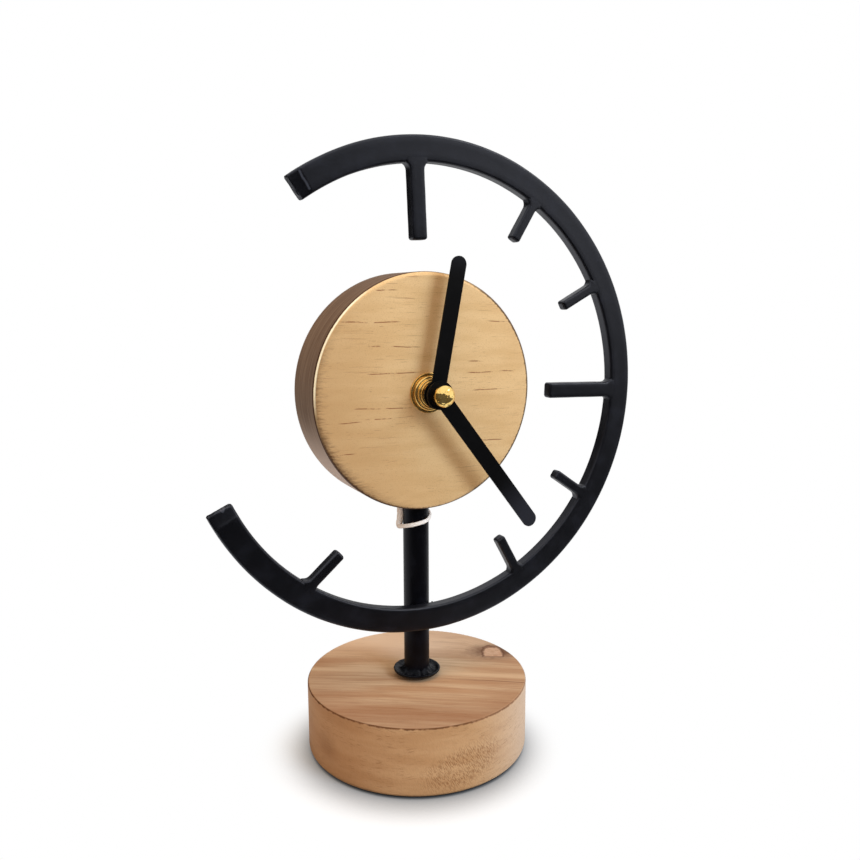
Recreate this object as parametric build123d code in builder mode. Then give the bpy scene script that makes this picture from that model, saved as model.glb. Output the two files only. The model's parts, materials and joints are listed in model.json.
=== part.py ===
"""Table clock: a round wooden face on a steel post, an open hour ring and a quartz movement.

Millimetres. The origin is the middle of the base's underside, +Z is up and the clock faces -Y.
"""
import math
import os

from build123d import *

os.makedirs("parts", exist_ok=True)

# Base and foot
base_diameter = 85.0
base_height = 25.8
base_top_round = 0.7
base_bottom_round = 1.3
pad_diameter = 76.0
pad_thickness = 0.8
bolt_diameter = 5.0
bolt_hole_clearance = 0.25
bolt_head_diameter = 8.5
bolt_head_height = 3.2
bolt_key_size = 4.0
bolt_key_depth = 2.0
bolt_in_post = 14.0
bolt_washer_diameter = 14.0
bolt_washer_thickness = 1.2
counterbore_diameter = 16.0
counterbore_depth = 8.0
foot_diameter = 18.4
foot_thickness = 1.3
foot_edge_round = 0.5
foot_weld_leg = 1.5

# Post
post_diameter = 9.8
hole_end_gap = 1.0
thread_clearance = 0.05
weld_gap = 0.02
stud_diameter = 5.0
stud_in_post = 12.0
stud_end_wood = 4.9

# Wooden face
axis_height = 138.4
disc_diameter = 86.0
disc_thickness = 22.4
disc_front_round = 1.6
disc_back_round = 1.0
seat_depth = 1.0
seat_clearance = 0.1
pocket_depth = 16.2
pocket_clearance = 0.7
shaft_hole_clearance = 0.4

# Hour ring and its markers
ring_outer_radius = 90.0
ring_bar_width = 9.3
ring_depth = 5.0
ring_edge_round = 0.8
ring_centre_x = 2.5
ring_centre_drop = 0.6
ring_top_end_angle = -35.5
ring_low_end_angle = 246.0
marker_depth = 4.4
marker_edge_round = 0.8
marker_overrun = 3.0
long_marker_width = 5.7
short_marker_width = 3.6
# Each marker: where its root meets the ring and the way it leans (clock degrees), its width, and the
# share that it crosses of the gap between the ring and the face
markers = {
    "marker_12": (-4.0, -2.4, long_marker_width, 0.708),
    "marker_1": (31.9, 31.4, short_marker_width, 0.405),
    "marker_2": (61.8, 62.6, short_marker_width, 0.401),
    "marker_3": (91.9, 92.2, long_marker_width, 0.739),
    "marker_4": (123.0, 124.6, short_marker_width, 0.379),
    "marker_5": (152.8, 151.3, short_marker_width, 0.391),
    "marker_7": (216.1, 229.0, short_marker_width, 0.413),
}
ring_weld_leg = 1.6
ring_weld_depth = 3.2
ring_weld_top_width = 0.4
ring_weld_inset = 0.8

# Hands and shaft hardware
hand_width = 5.8
hand_thickness = 0.7
hour_hand_reach = 48.9
hour_hand_angle = 10.7
minute_hand_reach = 64.6
minute_hand_angle = 142.5
hand_hub_diameter = 10.2
hand_collar_diameter = 7.6
hand_gap = 0.5
hand_seat_clearance = 0.02
minute_boss_diameter = 9.4
minute_boss_length = 1.2
shaft_washer_diameter = 14.5
shaft_washer_thickness = 0.8
shaft_nut_rim_diameter = 12.6
shaft_nut_rim_thickness = 1.5
shaft_nut_rim_round = 0.7
shaft_nut_shoulder_diameter = 10.8
shaft_nut_shoulder_round = 0.4
shaft_nut_thickness = 2.8
shaft_nut_collar_diameter = 9.4
shaft_nut_collar_length = 0.7
bush_proud = 0.6
hour_tube_proud = 2.6
cap_nut_diameter = 7.6
cap_nut_neck_diameter = 5.0
cap_nut_neck_length = 1.2
cap_nut_back_slope = 0.9
cap_nut_rim_length = 1.2
cap_nut_dome_height = 1.8
cap_nut_edge_round = 0.4
arbor_thread_diameter = 2.6
arbor_thread_length = 3.0

# Movement case
case_size = 55.6
case_corner = 4.0
case_wall = 1.3
case_plate_thickness = 1.2
case_room_depth = 12.2
cover_thickness = 1.5
gasket_thickness = 1.0
gasket_diameter = 24.0
gasket_hole_clearance = 0.3
bush_thread_diameter = 7.8
bush_flange_diameter = 13.0
bush_spigot_diameter = 9.8
pillar_radius = 1.3
pillar_pin_radius = 0.6
bridge_thickness = 1.0
bridge_lift = 4.0
bridge_left = -14.2
bridge_right = 15.5
bridge_gap = 1.0
bridge_top = 18.6
bridge_tab_right = -5.0
bridge_tab_top = 21.2
pillar_inset = 1.6
low_pillar_spread = 11.6
right_pillar_x = 13.8
right_pillar_z = 16.8
left_pillar_x = -12.7
left_pillar_z = 19.4

# Gears: teeth, and modules that give each pair its centre distance
pressure_angle = 25.0
tooth_addendum = 0.75
tooth_dedendum = 1.05
tooth_backlash = 0.06
fine_flank_steps = 4
coarse_flank_steps = 2
gear_thickness = 0.8
motion_gear_thickness = 1.0
layer_gap = 0.6
motion_layer_gap = 0.5
floor_gap = 0.3
hour_teeth = 40
motion_pinion_teeth = 10
motion_teeth = 36
cannon_teeth = 12
set_teeth = 12
motion_distance = 10.0
motion_direction = 135.0
set_direction = 100.0
centre_teeth = 64
third_pinion_teeth = 8
third_teeth = 60
second_pinion_teeth = 8
third_distance = 10.08
third_direction = 20.0
second_teeth = 60
step_pinion_teeth = 10
step_distance = 9.8
step_direction = 95.0
step_teeth = 60
rotor_teeth = 12
rotor_distance = 9.0
rotor_direction = 35.0

# Arbors and pivots
running_clearance = 0.05
minute_stem_radius = 1.5
hour_tube_radius = 2.5
train_arbor_radius = 0.6
pivot_radius = 0.4
pivot_depth = 0.7
pivot_end_gap = 0.1
motion_post_radius = 0.6
set_arbor_radius = 1.2
set_pivot_radius = 0.5
set_knob_diameter = 13.0
set_knob_length = 3.6
set_knob_gap = 0.4
set_knob_grooves = 18
set_knob_groove_radius = 0.5

# Motor, circuit and battery
magnet_radius = 2.3
magnet_length = 0.9
magnet_lift = 0.2
stator_thickness = 1.0
stator_ring_radius = 4.2
stator_gap = 0.45
stator_arm_bottom = 13.0
stator_arm_top = 17.0
stator_leg_top = 24.6
stator_leg_width = 3.0
stator_left = 0.5
stator_right = 20.0
coil_height = 22.5
coil_diameter = 5.2
coil_flange_diameter = 5.6
coil_flange_thickness = 0.8
coil_end_gap = 0.4
core_thickness = 1.0
core_width = 1.6
core_clearance = 0.05
board_wall_gap = 0.5
board_right = -14.6
board_half_height = 9.6
board_thickness = 1.0
board_pillar_x = -22.0
board_pillar_z = 7.0
chip_radius = 2.6
chip_height = 1.1
chip_edge_round = 0.5
crystal_radius = 1.0
crystal_length = 6.2
crystal_offset = 5.4
battery_diameter = 14.2
battery_length = 50.2
battery_nub_diameter = 5.5
battery_nub_length = 1.2
battery_edge_round = 0.8
battery_wall_gap = 0.4
battery_room = 0.2
battery_slot_clearance = 0.25
divider_thickness = 0.8
divider_gap = 0.5
contact_thickness = 0.35
contact_wall_gap = 0.1
contact_height = 8.0
contact_boss_radius = 2.4
contact_gap = 0.05

# String tied round the post under the face
string_diameter = 1.8
knot_diameter = 3.4
knot_length = 2.8
knot_edge_round = 0.9
# Turns round the post, from the knot behind it: right, front, left and back up to the knot. Each has its
# place across and along, and its drop below the face
string_turns = [
    (-3.2, 7.0, 1.9),
    (1.6, 7.0, 2.1),
    (5.6, 4.3, 2.5),
    (6.6, -0.6, 3.5),
    (4.0, -5.2, 5.1),
    (-1.2, -6.6, 6.9),
    (-5.8, -5.4, 8.5),
    (-8.4, -2.4, 8.2),
    (-8.8, 0.9, 5.9),
    (-8.2, 3.9, 3.4),
    (-4.7, 6.8, 1.9),
]
string_bend_share = 0.45

# Heights and depths that follow from the sizes above
base_radius = base_diameter / 2
base_bottom = pad_thickness
base_top = base_bottom + base_height
post_radius = post_diameter / 2
bolt_radius = bolt_diameter / 2
bolt_washer_top = base_bottom + counterbore_depth
bolt_head_top = bolt_washer_top - bolt_washer_thickness
stud_radius = stud_diameter / 2
disc_radius = disc_diameter / 2
disc_bottom = axis_height - disc_radius
disc_front = -disc_thickness / 2
disc_back = disc_thickness / 2
post_top = disc_bottom + seat_depth
string_route = [(across, along, disc_bottom - drop) for across, along, drop in string_turns]
pocket_floor = disc_back - pocket_depth
pocket_size = case_size + 2 * pocket_clearance
stud_in_disc = axis_height - pocket_size / 2 - stud_end_wood - post_top
ring_centre_height = axis_height - ring_centre_drop
ring_inner_radius = ring_outer_radius - ring_bar_width
ring_back = -post_radius
ring_front = ring_back - ring_depth
bush_thread_radius = bush_thread_diameter / 2
washer_front = disc_front - shaft_washer_thickness
nut_front = washer_front - shaft_nut_thickness
nut_collar_front = nut_front - shaft_nut_collar_length
bush_front = nut_collar_front - bush_proud
hour_tube_front = bush_front - hour_tube_proud
hour_collar_back = bush_front - hand_gap
hour_hand_front = hour_tube_front
hour_hand_back = hour_hand_front + hand_thickness
minute_boss_back = hour_hand_front - hand_gap
minute_hand_back = minute_boss_back - minute_boss_length
minute_hand_front = minute_hand_back - hand_thickness
arbor_front = minute_hand_front - arbor_thread_length
case_front = pocket_floor + gasket_thickness
case_floor = case_front + case_plate_thickness
cover_front = case_floor + case_room_depth
cover_back = cover_front + cover_thickness
case_inside = case_size - 2 * case_wall
case_inside_corner = case_corner - case_wall
hour_layer = case_floor + floor_gap
hour_layer_back = hour_layer + motion_gear_thickness
motion_layer = hour_layer_back + motion_layer_gap
motion_layer_back = motion_layer + motion_gear_thickness
bridge_front = case_floor + bridge_lift
bridge_back = bridge_front + bridge_thickness
centre_layer = bridge_back + gear_thickness
centre_layer_back = centre_layer + gear_thickness
third_layer = centre_layer_back + layer_gap
third_layer_back = third_layer + gear_thickness
second_layer = third_layer_back + layer_gap
second_layer_back = second_layer + gear_thickness
step_layer = second_layer_back + layer_gap
step_layer_back = step_layer + gear_thickness
arbor_back = third_layer - layer_gap / 2
pivot_hole_end = cover_front + pivot_depth + pivot_end_gap
pivot_end = cover_front + pivot_depth
stator_back = bridge_back + stator_thickness
core_back = stator_back + core_thickness
battery_radius = battery_diameter / 2
battery_middle = case_floor + battery_room + battery_radius
battery_drop = case_inside / 2 - battery_wall_gap - battery_radius
divider_bottom = -battery_drop + battery_radius + divider_gap
bridge_bottom = divider_bottom + divider_thickness + bridge_gap
low_pillars = bridge_bottom + pillar_inset
bridge_pillars = [
    (-low_pillar_spread, low_pillars),
    (low_pillar_spread, low_pillars),
    (right_pillar_x, right_pillar_z),
    (left_pillar_x, left_pillar_z),
]
board_left = board_wall_gap - case_inside / 2

# Gear modules from the centre distances
hour_module = 2 * motion_distance / (hour_teeth + motion_pinion_teeth)
cannon_module = 2 * motion_distance / (cannon_teeth + motion_teeth)
centre_module = 2 * third_distance / (centre_teeth + third_pinion_teeth)
third_module = 2 * third_distance / (third_teeth + second_pinion_teeth)
second_module = 2 * step_distance / (second_teeth + step_pinion_teeth)
step_module = 2 * rotor_distance / (step_teeth + rotor_teeth)
set_distance = cannon_module * (motion_teeth + set_teeth) / 2


def polar(distance, direction, start=(0.0, 0.0)):
    """A point in the clock plane, at a distance and a direction from a starting point."""
    angle = math.radians(direction)
    return (start[0] + distance * math.cos(angle), start[1] + distance * math.sin(angle))


motion_place = polar(motion_distance, motion_direction)
set_place = polar(set_distance, set_direction, motion_place)
third_place = polar(third_distance, third_direction)
step_place = polar(step_distance, step_direction)
rotor_place = polar(rotor_distance, rotor_direction, step_place)


def clock_plane(depth):
    """The plane square to the clock's axis at a depth, x to the right and y up seen from the front."""
    return Plane(origin=(0, depth, axis_height), x_dir=(1, 0, 0), z_dir=(0, -1, 0))


def round_slab(radius, front, back, place=(0.0, 0.0), mode=Mode.ADD):
    """Adds or cuts a round slab that lies square to the clock's axis."""
    with BuildSketch(clock_plane(back)) as outline:
        with Locations(place):
            Circle(radius)
    extrude(outline.sketch, amount=back - front, mode=mode)


def square_slab(left, right, bottom, top, front, back, mode=Mode.ADD):
    """Adds or cuts a four-sided slab that lies square to the clock's axis."""
    with BuildSketch(clock_plane(back)) as outline:
        with Locations(((left + right) / 2, (bottom + top) / 2)):
            Rectangle(right - left, top - bottom)
    extrude(outline.sketch, amount=back - front, mode=mode)


def gear_outline(teeth, module, phase, flank_steps, place):
    """The closed outline of an involute gear, with one tooth pointing along the phase angle."""
    pitch_radius = teeth * module / 2
    base_circle = pitch_radius * math.cos(math.radians(pressure_angle))
    root_radius = pitch_radius - tooth_dedendum * module
    tip_radius = pitch_radius + tooth_addendum * module
    half_tooth = (math.pi * module / 2 - tooth_backlash) / (2 * pitch_radius)

    def involute(radius):
        roll = math.acos(min(1.0, base_circle / radius))
        return math.tan(roll) - roll

    flank = []
    start_radius = max(root_radius, base_circle)
    if start_radius > root_radius:
        flank.append((root_radius, half_tooth + involute(pitch_radius)))
    for step in range(flank_steps):
        radius = start_radius + (tip_radius - start_radius) * step / (flank_steps - 1)
        flank.append((radius, half_tooth + involute(pitch_radius) - involute(radius)))
    points = []
    for tooth in range(teeth):
        middle = math.degrees(2 * math.pi * tooth / teeth) + phase
        points += [polar(radius, middle - math.degrees(angle), place) for radius, angle in flank]
        points += [polar(radius, middle + math.degrees(angle), place) for radius, angle in reversed(flank)]
    return points


def gear_slab(teeth, module, phase, front, back, place=(0.0, 0.0)):
    """Adds a gear between two depths. Pinions get finer flanks than wheels."""
    flank_steps = fine_flank_steps if teeth < motion_teeth else coarse_flank_steps
    with BuildSketch(clock_plane(back)) as outline:
        with BuildLine():
            Polyline(*gear_outline(teeth, module, phase, flank_steps, place), close=True)
        make_face()
    extrude(outline.sketch, amount=back - front)


def meshing_phase(driver_teeth, driver_phase, teeth, direction):
    """The phase at which a gear meshes with a driver that lies the other way along the direction."""
    turn_of_driver = (driver_phase - direction) * driver_teeth / teeth
    return direction + 180.0 + 180.0 / teeth - turn_of_driver


# Phases of every gear, each found from the gear it runs with
cannon_phase = 0.0
motion_phase = meshing_phase(cannon_teeth, cannon_phase, motion_teeth, motion_direction)
set_phase = meshing_phase(motion_teeth, motion_phase, set_teeth, set_direction)
motion_pinion_phase = 0.0
hour_phase = meshing_phase(motion_pinion_teeth, motion_pinion_phase, hour_teeth, motion_direction + 180.0)
step_phase = 0.0
rotor_phase = meshing_phase(step_teeth, step_phase, rotor_teeth, rotor_direction)
step_pinion_phase = 0.0
second_phase = meshing_phase(step_pinion_teeth, step_pinion_phase, second_teeth, step_direction + 180.0)
second_pinion_phase = 0.0
third_phase = meshing_phase(second_pinion_teeth, second_pinion_phase, third_teeth, third_direction)
third_pinion_phase = 0.0
centre_phase = meshing_phase(third_pinion_teeth, third_pinion_phase, centre_teeth, third_direction + 180.0)

# Round wooden base, bolted from below
with BuildPart() as base:
    with BuildSketch(Plane.XY.offset(base_bottom)):
        Circle(base_radius)
    extrude(amount=base_height)
    rim_edges = base.edges().filter_by(GeomType.CIRCLE).group_by(Axis.Z)
    fillet(rim_edges[-1], base_top_round)
    fillet(base.edges().filter_by(GeomType.CIRCLE).group_by(Axis.Z)[0], base_bottom_round)
    with Locations(base.faces().sort_by(Axis.Z)[0]):
        CounterBoreHole(bolt_radius + bolt_hole_clearance, counterbore_diameter / 2, counterbore_depth)
base.part.label = "base"
export_step(base.part, "parts/base.step")

# Thin pad under the base
with BuildPart() as base_pad:
    with BuildSketch():
        Circle(pad_diameter / 2)
    extrude(amount=pad_thickness)
base_pad.part.label = "base_pad"
export_step(base_pad.part, "parts/base_pad.step")

# Washer in the counterbore
with BuildPart() as base_washer:
    with BuildSketch(Plane.XY.offset(bolt_head_top)):
        Circle(bolt_washer_diameter / 2)
        Circle(bolt_radius + bolt_hole_clearance, mode=Mode.SUBTRACT)
    extrude(amount=bolt_washer_thickness)
base_washer.part.label = "base_washer"
export_step(base_washer.part, "parts/base_washer.step")

# Socket-head bolt up into the post
with BuildPart() as base_bolt:
    with BuildSketch(Plane.XY.offset(bolt_head_top - bolt_head_height)):
        Circle(bolt_head_diameter / 2)
    extrude(amount=bolt_head_height)
    with BuildSketch(Plane.XY.offset(bolt_head_top)):
        Circle(bolt_radius)
    extrude(amount=base_top + bolt_in_post - bolt_head_top)
    with BuildSketch(Plane.XY.offset(bolt_head_top - bolt_head_height)):
        RegularPolygon(bolt_key_size / 2, 6, major_radius=False)
    extrude(amount=bolt_key_depth, mode=Mode.SUBTRACT)
base_bolt.part.label = "base_bolt"
export_step(base_bolt.part, "parts/base_bolt.step")

# Thin round foot with its weld fillet round the post
with BuildPart() as foot_flange:
    with BuildSketch(Plane.XZ):
        with BuildLine():
            foot_bore = post_radius + weld_gap
            foot_top = base_top + foot_thickness
            Polyline(
                (foot_bore, base_top),
                (foot_diameter / 2, base_top),
                (foot_diameter / 2, foot_top),
                (post_radius + foot_weld_leg, foot_top),
                (foot_bore, foot_top + foot_weld_leg),
                close=True,
            )
        make_face()
    revolve(axis=Axis.Z)
    foot_rim = foot_flange.edges().filter_by(GeomType.CIRCLE).sort_by(SortBy.RADIUS)[-2:]
    fillet(foot_rim.sort_by(Axis.Z)[-1], foot_edge_round)
foot_flange.part.label = "foot_flange"
export_step(foot_flange.part, "parts/foot_flange.step")

# Post, drilled at both ends
with BuildPart() as post:
    with BuildSketch(Plane.XY.offset(base_top)):
        Circle(post_radius)
    extrude(amount=post_top - base_top)
    with BuildSketch(Plane.XY.offset(base_top)):
        Circle(bolt_radius + thread_clearance)
    extrude(amount=bolt_in_post + hole_end_gap, mode=Mode.SUBTRACT)
    with BuildSketch(Plane.XY.offset(post_top)):
        Circle(stud_radius + thread_clearance)
    extrude(amount=-(stud_in_post + hole_end_gap), mode=Mode.SUBTRACT)
post.part.label = "post"
export_step(post.part, "parts/post.step")

# Stud that joins the post to the face
with BuildPart() as post_stud:
    with BuildSketch(Plane.XY.offset(post_top - stud_in_post)):
        Circle(stud_radius)
    extrude(amount=stud_in_post + stud_in_disc)
post_stud.part.label = "post_stud"
export_step(post_stud.part, "parts/post_stud.step")

# Open hour ring of flat bar, set against the front of the post
ring_plane = Plane(origin=(ring_centre_x, ring_back, ring_centre_height), x_dir=(1, 0, 0), z_dir=(0, -1, 0))
with BuildPart() as hour_ring:
    with BuildSketch(ring_plane):
        with BuildLine():
            ring_start = 90.0 - ring_low_end_angle
            ring_sweep = ring_low_end_angle - ring_top_end_angle
            outer_arc = CenterArc((0, 0), ring_outer_radius, ring_start, ring_sweep)
            inner_arc = CenterArc((0, 0), ring_inner_radius, ring_start, ring_sweep)
            Line(outer_arc @ 0, inner_arc @ 0)
            Line(outer_arc @ 1, inner_arc @ 1)
        make_face()
    extrude(amount=ring_depth)
    fillet(hour_ring.edges(), ring_edge_round)
hour_ring.part.label = "hour_ring"
export_step(hour_ring.part, "parts/hour_ring.step")

# Weld beads between the ring's back and both sides of the post
with BuildPart() as ring_weld:
    weld_bottom = ring_centre_height - ring_outer_radius + ring_weld_inset
    weld_plane = Plane.XY.offset(weld_bottom)
    weld_root = post_radius - ring_weld_depth
    with BuildSketch(weld_plane):
        with BuildLine():
            Polyline(
                (weld_root, ring_back),
                (post_radius + ring_weld_leg, ring_back),
                (post_radius + ring_weld_top_width, ring_back + ring_weld_depth),
                (weld_root, ring_back + ring_weld_depth),
                close=True,
            )
        make_face()
    extrude(amount=ring_bar_width - 2 * ring_weld_inset)
    mirror(about=Plane.YZ)
    with BuildSketch(weld_plane):
        Circle(post_radius + weld_gap)
    extrude(amount=ring_bar_width, mode=Mode.SUBTRACT)
ring_weld.part.label = "ring_weld"
export_step(ring_weld.part, "parts/ring_weld.step")

# Hour markers: bars with rounded edges, cut to the ring's inside
for marker_name, (root_angle, lean_angle, marker_width, gap_share) in markers.items():
    root = polar(ring_inner_radius, 90.0 - root_angle, (ring_centre_x, ring_centre_height))
    gap_to_face = math.hypot(root[0], root[1] - axis_height) - disc_radius
    marker_length = gap_share * gap_to_face
    lean = math.radians(lean_angle)
    marker_plane = Plane(
        origin=(root[0], ring_front + marker_depth, root[1]),
        x_dir=(math.sin(lean), 0, math.cos(lean)),
        z_dir=(0, -1, 0),
    )
    with BuildPart() as marker:
        with BuildSketch(marker_plane):
            with Locations(((marker_overrun - marker_length) / 2, 0)):
                Rectangle(marker_length + marker_overrun, marker_width)
        extrude(amount=marker_depth)
        fillet(marker.edges(), marker_edge_round)
        with BuildSketch(ring_plane):
            Circle(ring_inner_radius - weld_gap)
        extrude(amount=ring_depth, mode=Mode.INTERSECT)
    marker.part.label = marker_name
    export_step(marker.part, f"parts/{marker_name}.step")

# Round wooden face with a pocket for the movement and a seat for the post
with BuildPart() as face_disc:
    with BuildSketch(clock_plane(disc_back)):
        Circle(disc_radius)
    extrude(amount=disc_thickness)
    fillet(face_disc.edges().filter_by(GeomType.CIRCLE).group_by(Axis.Y)[0], disc_front_round)
    fillet(face_disc.edges().filter_by(GeomType.CIRCLE).group_by(Axis.Y)[-1], disc_back_round)
    with BuildSketch(clock_plane(disc_back)):
        RectangleRounded(pocket_size, pocket_size, case_corner + pocket_clearance)
    extrude(amount=pocket_depth, mode=Mode.SUBTRACT)
    round_slab(bush_thread_radius + shaft_hole_clearance, disc_front, pocket_floor, mode=Mode.SUBTRACT)
    with BuildSketch(Plane.XY.offset(post_top)):
        Circle(post_radius + seat_clearance)
    extrude(amount=-2 * seat_depth, mode=Mode.SUBTRACT)
    with BuildSketch(Plane.XY.offset(post_top)):
        Circle(stud_radius + thread_clearance)
    extrude(amount=stud_in_disc + hole_end_gap, mode=Mode.SUBTRACT)
face_disc.part.label = "face_disc"
export_step(face_disc.part, "parts/face_disc.step")

# Washer and nut that clamp the movement to the face
with BuildPart() as shaft_washer:
    round_slab(shaft_washer_diameter / 2, washer_front, disc_front)
    round_slab(bush_thread_radius + thread_clearance, washer_front, disc_front, mode=Mode.SUBTRACT)
shaft_washer.part.label = "shaft_washer"
export_step(shaft_washer.part, "parts/shaft_washer.step")

with BuildPart() as shaft_nut:
    nut_rim_front = washer_front - shaft_nut_rim_thickness
    round_slab(shaft_nut_rim_diameter / 2, nut_rim_front, washer_front)
    fillet(shaft_nut.edges().filter_by(GeomType.CIRCLE).group_by(Axis.Y)[0], shaft_nut_rim_round)
    round_slab(shaft_nut_shoulder_diameter / 2, nut_front, nut_rim_front)
    fillet(shaft_nut.edges().filter_by(GeomType.CIRCLE).group_by(Axis.Y)[0], shaft_nut_shoulder_round)
    round_slab(shaft_nut_collar_diameter / 2, nut_collar_front, nut_front)
    round_slab(bush_thread_radius + thread_clearance, nut_collar_front, washer_front, mode=Mode.SUBTRACT)
shaft_nut.part.label = "shaft_nut"
export_step(shaft_nut.part, "parts/shaft_nut.step")

# Threaded bush, held between the wood and the movement's front plate
with BuildPart() as threaded_bush:
    round_slab(bush_thread_radius, bush_front, pocket_floor)
    round_slab(bush_flange_diameter / 2, pocket_floor, case_front)
    round_slab(bush_spigot_diameter / 2, case_front, case_floor)
    round_slab(hour_tube_radius + running_clearance, bush_front, case_floor, mode=Mode.SUBTRACT)
threaded_bush.part.label = "threaded_bush"
export_step(threaded_bush.part, "parts/threaded_bush.step")

# Rubber gasket round the bush's flange
with BuildPart() as gasket:
    round_slab(gasket_diameter / 2, pocket_floor, case_front)
    gasket_hole = bush_flange_diameter / 2 + gasket_hole_clearance
    round_slab(gasket_hole, pocket_floor, case_front, mode=Mode.SUBTRACT)
gasket.part.label = "gasket"
export_step(gasket.part, "parts/gasket.step")

# Hands
hour_lean = math.radians(hour_hand_angle)
minute_lean = math.radians(minute_hand_angle)
with BuildPart() as hour_hand:
    hour_plane = Plane(
        origin=(0, hour_hand_back, axis_height),
        x_dir=(math.sin(hour_lean), 0, math.cos(hour_lean)),
        z_dir=(0, -1, 0),
    )
    with BuildSketch(hour_plane):
        hour_slot = hour_hand_reach - hand_width / 2
        with Locations((hour_slot / 2, 0)):
            SlotCenterToCenter(hour_slot, hand_width)
        Circle(hand_hub_diameter / 2)
    extrude(amount=hand_thickness)
    round_slab(hand_collar_diameter / 2, hour_hand_back, hour_collar_back)
    hour_bore = hour_tube_radius + hand_seat_clearance
    round_slab(hour_bore, hour_hand_front, hour_collar_back, mode=Mode.SUBTRACT)
hour_hand.part.label = "hour_hand"
export_step(hour_hand.part, "parts/hour_hand.step")

with BuildPart() as minute_hand:
    minute_plane = Plane(
        origin=(0, minute_hand_back, axis_height),
        x_dir=(math.sin(minute_lean), 0, math.cos(minute_lean)),
        z_dir=(0, -1, 0),
    )
    with BuildSketch(minute_plane):
        minute_slot = minute_hand_reach - hand_width / 2
        with Locations((minute_slot / 2, 0)):
            SlotCenterToCenter(minute_slot, hand_width)
        Circle(hand_hub_diameter / 2)
    extrude(amount=hand_thickness)
    round_slab(minute_boss_diameter / 2, minute_hand_back, minute_boss_back)
    minute_bore = minute_stem_radius + hand_seat_clearance
    round_slab(minute_bore, minute_hand_front, minute_boss_back, mode=Mode.SUBTRACT)
minute_hand.part.label = "minute_hand"
export_step(minute_hand.part, "parts/minute_hand.step")

# Domed brass nut on the minute arbor's thread
with BuildPart() as cap_nut:
    cap_radius = cap_nut_diameter / 2
    neck_radius = cap_nut_neck_diameter / 2
    neck_front = minute_hand_front - cap_nut_neck_length
    rim_back = neck_front - cap_nut_back_slope
    cap_front = rim_back - cap_nut_rim_length - cap_nut_dome_height
    dome_radius = (cap_radius ** 2 + cap_nut_dome_height ** 2) / (2 * cap_nut_dome_height)
    dome_turn = math.degrees(math.asin(cap_radius / dome_radius))
    with BuildSketch(Plane(origin=(0, 0, axis_height), x_dir=(1, 0, 0), z_dir=(0, 0, 1))):
        with BuildLine():
            dome_arc = CenterArc((0, cap_front + dome_radius), dome_radius, -90, dome_turn)
            Polyline(
                dome_arc @ 1,
                (cap_radius, rim_back),
                (neck_radius, neck_front),
                (neck_radius, minute_hand_front),
                (0, minute_hand_front),
                dome_arc @ 0,
            )
        make_face()
    revolve(axis=Axis((0, 0, axis_height), (0, 1, 0)))
    fillet(cap_nut.edges().filter_by(GeomType.CIRCLE).sort_by(SortBy.RADIUS)[-2:], cap_nut_edge_round)
    thread_hole = arbor_thread_diameter / 2 + thread_clearance
    round_slab(thread_hole, arbor_front - pivot_end_gap, minute_hand_front, mode=Mode.SUBTRACT)
cap_nut.part.label = "cap_nut"
export_step(cap_nut.part, "parts/cap_nut.step")

# Movement case: front plate, walls, battery divider, pillars and the motion wheel's post
with BuildPart() as movement_case:
    with BuildSketch(clock_plane(cover_front)):
        RectangleRounded(case_size, case_size, case_corner)
    extrude(amount=cover_front - case_front)
    with BuildSketch(clock_plane(cover_front)):
        RectangleRounded(case_inside, case_inside, case_inside_corner)
    extrude(amount=case_room_depth, mode=Mode.SUBTRACT)
    half_inside = case_inside / 2
    square_slab(-half_inside, half_inside, divider_bottom, divider_bottom + divider_thickness,
                case_floor, cover_front)
    for pillar_place in bridge_pillars:
        round_slab(pillar_radius, case_floor, bridge_front, pillar_place)
        round_slab(pillar_pin_radius, bridge_front, bridge_back, pillar_place)
    for leg_x in (stator_left + stator_leg_width / 2, stator_right - stator_leg_width / 2):
        leg_place = (leg_x, stator_leg_top - stator_leg_width / 2)
        round_slab(pillar_radius, case_floor, bridge_back, leg_place)
    for board_z in (-board_pillar_z, board_pillar_z):
        round_slab(pillar_radius, case_floor, bridge_back, (board_pillar_x, board_z))
    round_slab(motion_post_radius, case_floor, bridge_front - floor_gap, motion_place)
    round_slab(bush_spigot_diameter / 2 + thread_clearance, case_front, case_floor, mode=Mode.SUBTRACT)
    set_hole_front = case_floor - pivot_depth - pivot_end_gap
    round_slab(set_pivot_radius + running_clearance, set_hole_front, case_floor, set_place, Mode.SUBTRACT)
movement_case.part.label = "movement_case"
export_step(movement_case.part, "parts/movement_case.step")

# Back cover with the battery opening, the knob's hole and the pivot holes
with BuildPart() as back_cover:
    with BuildSketch(clock_plane(cover_back)):
        RectangleRounded(case_size, case_size, case_corner)
    extrude(amount=cover_thickness)
    slot_half_length = battery_length / 2 + battery_slot_clearance
    slot_half_width = battery_radius + battery_slot_clearance
    square_slab(-slot_half_length, slot_half_length, -battery_drop - slot_half_width,
                -battery_drop + slot_half_width, cover_front, cover_back, Mode.SUBTRACT)
    knob_hole = set_arbor_radius + running_clearance
    round_slab(knob_hole, cover_front, cover_back, set_place, Mode.SUBTRACT)
    for pivot_place in ((0.0, 0.0), third_place, step_place, rotor_place):
        pivot_hole = pivot_radius + running_clearance
        round_slab(pivot_hole, cover_front, pivot_hole_end, pivot_place, Mode.SUBTRACT)
back_cover.part.label = "back_cover"
export_step(back_cover.part, "parts/back_cover.step")

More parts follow.
